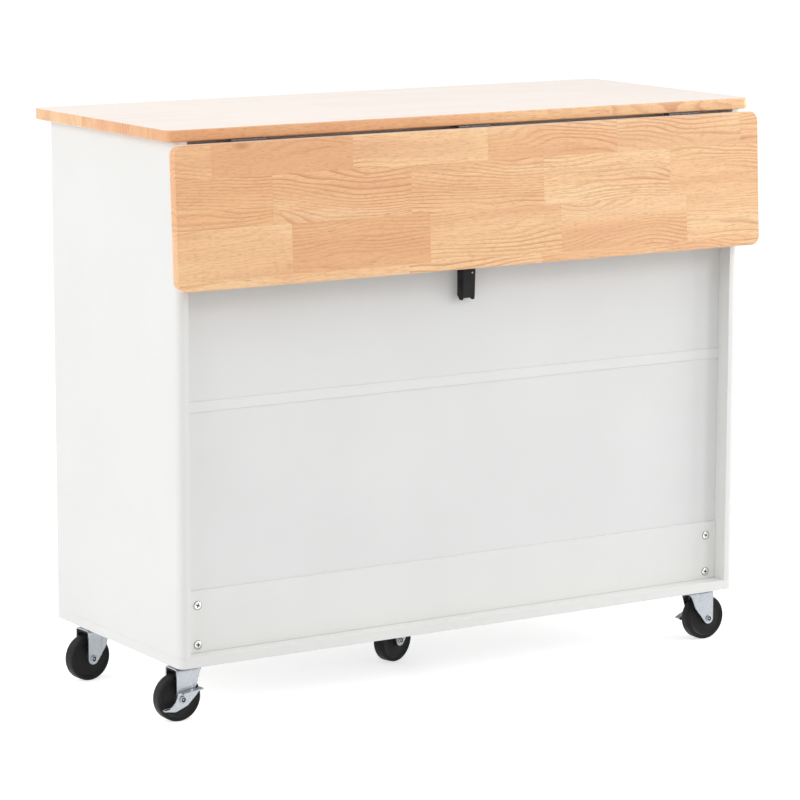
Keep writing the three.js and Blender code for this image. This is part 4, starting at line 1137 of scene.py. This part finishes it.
@dataclass
class Casters:
    """Five swivel casters: plate, fork, wheel, axle and, on two, a brake lever.

    The head is an axle rivet's rolled rim and the tip the pin's end inside it.
    """

    finishes: Finishes
    turns: dict[str, float] = field(
        default_factory=lambda: {
            "rear_left": 0.0,
            "rear_right": 180.0,
            "front_left": 7.0,
            "front_right": 180.0,
            "center": 17.0,
        }
    )
    braked: tuple[str, ...] = ("rear_left", "rear_right")
    shell: ForkShell = field(default_factory=ForkShell)
    trail: float = 24.0
    axle_height: float = 37.5
    plate_screw: Screw = Screw(3.9, 1.6, 10, 32)
    plate_screw_place: float = 22.0
    plate_under: float = 91.5
    head: Profile = (
        (0, 0), (5.6, 0), *fillet((4.6, 1.6), 1.0, 0, 120, 7), (3.7, 1.9), (3.5, 0.6), (0, 0.6)
    )
    tip: Profile = ((0, 0.6), (1.8, 0.6), (1.7, 1.5), (1.2, 1.9), (0, 2.0))

    def build(self) -> None:
        """Builds all five casters."""
        for name, turn in self.turns.items():
            stem = centre(f"{name}_caster_plate")
            place = Matrix.Translation((stem.x, stem.y, 0)) @ Matrix.Rotation(
                radians(turn), 4, "Z"
            )
            self.plate(name, stem)
            self.fork(name, place)
            self.wheel(name, place)
            if name in self.braked:
                EasedCopy(f"{name}_brake_lever", 0.25, 2, False).build(self.finishes.zinc)

    def plate(self, name: str, stem: Vector) -> None:
        """Mounting plate and its four screws."""
        EasedCopy(f"{name}_caster_plate", 0.35).build(self.finishes.zinc)
        grids = [
            self.plate_screw.grid(
                (
                    stem.x + u * self.plate_screw_place * MM,
                    stem.y + v * self.plate_screw_place * MM,
                    self.plate_under * MM,
                ),
                Axis.MINUS_Z,
                u + 2 * v,
            )
            for u in (-1, 1)
            for v in (-1, 1)
        ]
        dress(surface(f"{name}_caster_screws", grids), self.finishes.nickel, "cabinet")

    def fork(self, name: str, place: Matrix) -> None:
        """Fork shell, bearing race and the riveted axle, which all ride on the fork's body."""
        body = BODY_OF[f"{name}_caster_fork"]
        node = (f"{name}_caster_fork",)

        def part(suffix: str, grids: Sequence[np.ndarray], finish: Finish, sharp: float) -> None:
            """Piece of the fork from grids drawn about the swivel's axis."""
            piece = surface(f"{name}_{suffix}", grids, sharp=sharp)
            piece.data.transform(place)
            dress(piece, finish, body, node)

        skin = surface(f"{name}_fork_shell", [self.shell.grid()], wrap=False, sharp=60.0)
        skin.data.transform(place)
        steel = skin.modifiers.new("steel", "SOLIDIFY")
        steel.thickness = self.shell.steel * MM
        steel.offset = -1
        steel.use_even_offset = True
        bevel(skin, 0.35, 2, 50.0)
        dress(skin, self.finishes.zinc, body, node)
        race = ((15.4, 85.0), (17.5, 85.0), *fillet((16.3, 89.7), 1.2, 0, 90), (15.4, 90.9),
                (15.4, 85.0))
        part("fork_race", [lathe(race, (0, 0, 0), Axis.Z, 64)], self.finishes.zinc, 40.0)
        spacer = 2.8 if name in self.braked else 0.0
        start = -self.shell.half - spacer
        near = (-self.trail * MM, start * MM, self.axle_height * MM)
        far = (near[0], self.shell.half * MM, near[2])
        reach = self.shell.half - start
        shank = ((0, -0.5), (4, -0.5), (4, reach + 0.5), (0, reach + 0.5))
        # Dark disc inside each rolled rim, round the pin's end: painted shade of the rivet's
        # hollow.
        dark = ((0, 0.7), (3.55, 0.7), (3.55, 1.0), (0, 1.0))
        ends = ((near, Axis.MINUS_Y), (far, Axis.Y))
        part("axle_bolt", [
            lathe(shank, near, Axis.Y, 32),
            *(lathe(self.head, spot, axis, 40) for spot, axis in ends),
            *(lathe(self.tip, spot, axis, 24) for spot, axis in ends),
        ], self.finishes.zinc, 25.0)
        painted_bore_shades = [lathe(dark, spot, axis, 24) for spot, axis in ends]
        part("axle_painted_bore_shade", painted_bore_shades, self.finishes.recess, 40.0)

    def wheel(self, name: str, place: Matrix) -> None:
        """Moulded wheel: hub boss, dished web, raised rim ring and a crowned tread."""
        half = [
            (4.3, 15.5),
            (9.2, 15.5),
            (9.9, 14.8),
            (10.6, 9.6),
            (11.6, 8.8),
            (28.6, 8.8),
            (29.6, 9.1),
            (30.4, 9.9),
            (31.2, 10.0),
            (32.0, 10.0),
            (32.5, 9.4),
            (33.1, 9.4),
            (33.5, 9.9),
            *fillet((34.4, 6.9), 3.0, 85, -75, 8),
            (37.4, 3.6),
            (37.5, 0.0),
        ]
        lower = [(r, -h) for r, h in half]
        profile = [*lower, *half[::-1][1:], lower[0]]
        spot = (-self.trail * MM, 0, self.axle_height * MM)
        wheel = surface(f"{name}_wheel_moulding", [lathe(profile, spot, Axis.Y, 96)])
        wheel.data.transform(place)
        node = f"{name}_caster_wheel"
        dress(wheel, self.finishes.rubber, BODY_OF[node], (node,))


# ---------------------------------------------------------------- Doors and drawers


@dataclass
class Fronts:
    """Doors, drawers, their hinges, runners and bar handles."""

    finishes: Finishes
    sides: tuple[str, ...] = ("left", "right")
    bar: float = 5.0
    post: float = 4.0
    span: float = 128.0
    door_face: float = 0.205914

    def build(self) -> None:
        """Builds the pieces of both bays."""
        for side in self.sides:
            for name in (f"{side}_door", f"{side}_drawer_front"):
                EasedCopy(name, 0.4).build(self.finishes.board)
            EasedCopy(f"{side}_drawer_box", 0.4, 1).build(self.finishes.board)
            for level in ("upper", "lower"):
                EasedCopy(f"{side}_door_{level}_hinge", 0.3).build(self.finishes.zinc)
            for place in ("inner", "outer"):
                EasedCopy(f"{side}_drawer_{place}_runner", 0.4).build(self.finishes.runner)
            self.handle(f"{side}_door_handle", Axis.Z)
            self.handle(f"{side}_drawer_handle", Axis.X)

    def handle(self, node: str, axis: Axis) -> None:
        """Bar with rounded ends on two posts with flared feet.

        Args:
            node: the CAD node that it stands for.
            axis: the direction of the bar.
        """
        low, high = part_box(node)
        middle = (low + high) / 2
        length = (high.x - low.x if axis is Axis.X else high.z - low.z) / MM
        bar_y = high.y - self.bar * MM
        r = self.bar
        bar = [(0, 0), (r - 1, 0), *fillet((r - 1, 1), 1, -90, 90), *fillet(
            (r - 1, length - 1), 1, 0, 90), (0, length)]
        start = Vector((middle.x, bar_y, middle.z)) - Vector(axis.value) * length / 2 * MM
        reach = (bar_y - self.door_face) / MM
        p = self.post
        post = ((0, 0), (p + 1.4, 0), (p + 1.4, 1.0), (p + 0.2, 1.6), (p - 0.4, 3.0),
                (p - 0.4, reach - 3), (p, reach), (0, reach))
        grids = [lathe(bar, start, axis, 40)]
        for end in (-1, 1):
            foot = Vector((middle.x, self.door_face, middle.z))
            foot += Vector(axis.value) * end * self.span / 2 * MM
            grids.append(lathe(post, foot, Axis.Y, 32))
        dress(surface(f"{node}_bar", grids), self.finishes.nickel, BODY_OF[node], (node,))


# ---------------------------------------------------------------- Studio


@dataclass
class Studio:
    """White room: pale floor, soft lights and the camera of the photograph."""

    camera_place: Point = (-3.05676, -4.81818, 1.43396)
    yaw: float = 0.56461
    pitch: float = 0.1735
    roll: float = 0.00205
    lens: float = 159.266
    fill: float = 0.59
    floor_reach: float = 40.0
    floor_glow: float = 0.62
    # Name, place in metres, width in metres and power in watts
    lamps: tuple[tuple[str, Point, float, float], ...] = (
        ("key", (3.0, -3.4, 2.6), 1.2, 35.7),
        ("soft_left", (-3.8, -1.2, 2.4), 3.0, 40.4),
        ("soft_end", (-3.8, 0.8, 2.0), 2.5, 36.6),
        ("overhead", (-0.3, -1.2, 3.4), 2.2, 17.5),
        ("soft_right", (4.2, -1.4, 1.2), 2.0, 72.7),
        ("soft_front", (0.3, 4.6, 0.45), 0.8, 55.0),
    )

    def build(self) -> None:
        """Builds the camera, the world, the floor and the lamps."""
        scene = bpy.context.scene
        scene.view_settings.view_transform = "Standard"
        self.camera()
        self.world()
        self.floor()
        for lamp in self.lamps:
            self.lamp(*lamp)

    def camera(self) -> None:
        """Camera at the photograph's place: forward and up follow from yaw, pitch, roll."""
        forward = Vector((
            sin(self.yaw) * cos(self.pitch), cos(self.yaw) * cos(self.pitch), -sin(self.pitch)
        ))
        level = Vector((cos(self.yaw), -sin(self.yaw), 0))
        up = level.cross(forward)
        right = level * cos(self.roll) + up * sin(self.roll)
        top = up * cos(self.roll) - level * sin(self.roll)
        data = bpy.data.cameras.new("photo_camera")
        data.lens = self.lens
        data.sensor_width = 36
        data.clip_end = 100
        camera = bpy.data.objects.new("photo_camera", data)
        turn = Matrix((right, top, -forward)).transposed().to_4x4()
        camera.matrix_world = Matrix.Translation(self.camera_place) @ turn
        bpy.context.scene.collection.objects.link(camera)
        bpy.context.scene.camera = camera

    def world(self) -> None:
        """White for the camera and in reflections, softer as a light on the object."""
        graph = NodeGraph(bpy.data.worlds.new("studio"), "Background")
        rays = graph.add("ShaderNodeLightPath", {}).outputs
        clear = graph.math("MAXIMUM", graph.shown(), rays["Is Transmission Ray"])
        level = graph.add("ShaderNodeMapRange", {0: clear, 3: self.fill, 4: 1.0}).outputs[0]
        bpy.context.scene.world = graph.surface({"Strength": level, "Color": (1, 1, 1, 1)})

    def floor(self) -> None:
        """Pale floor that is white to the camera and keeps the island's soft shadow."""
        mesh = bpy.data.meshes.new("studio_floor")
        reach = self.floor_reach
        corners = [(-reach, -reach, 0), (reach, -reach, 0), (reach, reach, 0), (-reach, reach, 0)]
        mesh.from_pydata(corners, [], [(0, 1, 2, 3)])
        floor = bpy.data.objects.new("studio_floor", mesh)
        bpy.context.scene.collection.objects.link(floor)
        graph = NodeGraph(bpy.data.materials.new("studio floor"))
        mesh.materials.append(graph.surface({
            "Base Color": (0.8, 0.8, 0.8, 1),
            "Roughness": 1.0,
            "Specular IOR Level": 0.0,
            "Emission Color": (1, 1, 1, 1),
            "Emission Strength": graph.math("MULTIPLY", graph.shown(), self.floor_glow),
        }))

    def lamp(self, name: str, place: Point, size: float, power: float) -> None:
        """Square soft light aimed at the island's middle.

        Args:
            name: the lamp's name.
            place: its place in metres.
            size: its width in metres.
            power: its power in watts.
        """
        data = bpy.data.lights.new(name, "AREA")
        data.size = size
        data.energy = power
        lamp = bpy.data.objects.new(name, data)
        lamp.location = place
        aim = Vector((0, 0, 0.5)) - Vector(place)
        lamp.rotation_euler = aim.to_track_quat("-Z", "Y").to_euler()
        bpy.context.scene.collection.objects.link(lamp)


def main() -> None:
    """Dresses the island and sets up the studio."""
    logging.basicConfig(level=logging.INFO, format="%(name)s: %(message)s")
    Studio().build()
    finishes = Finishes()
    Carcass(finishes).build()
    Wood(finishes).build()
    LeafHinges(finishes).build()
    Bracket(finishes).build()
    Casters(finishes).build()
    Fronts(finishes).build()


if __name__ == "__main__":
    main()
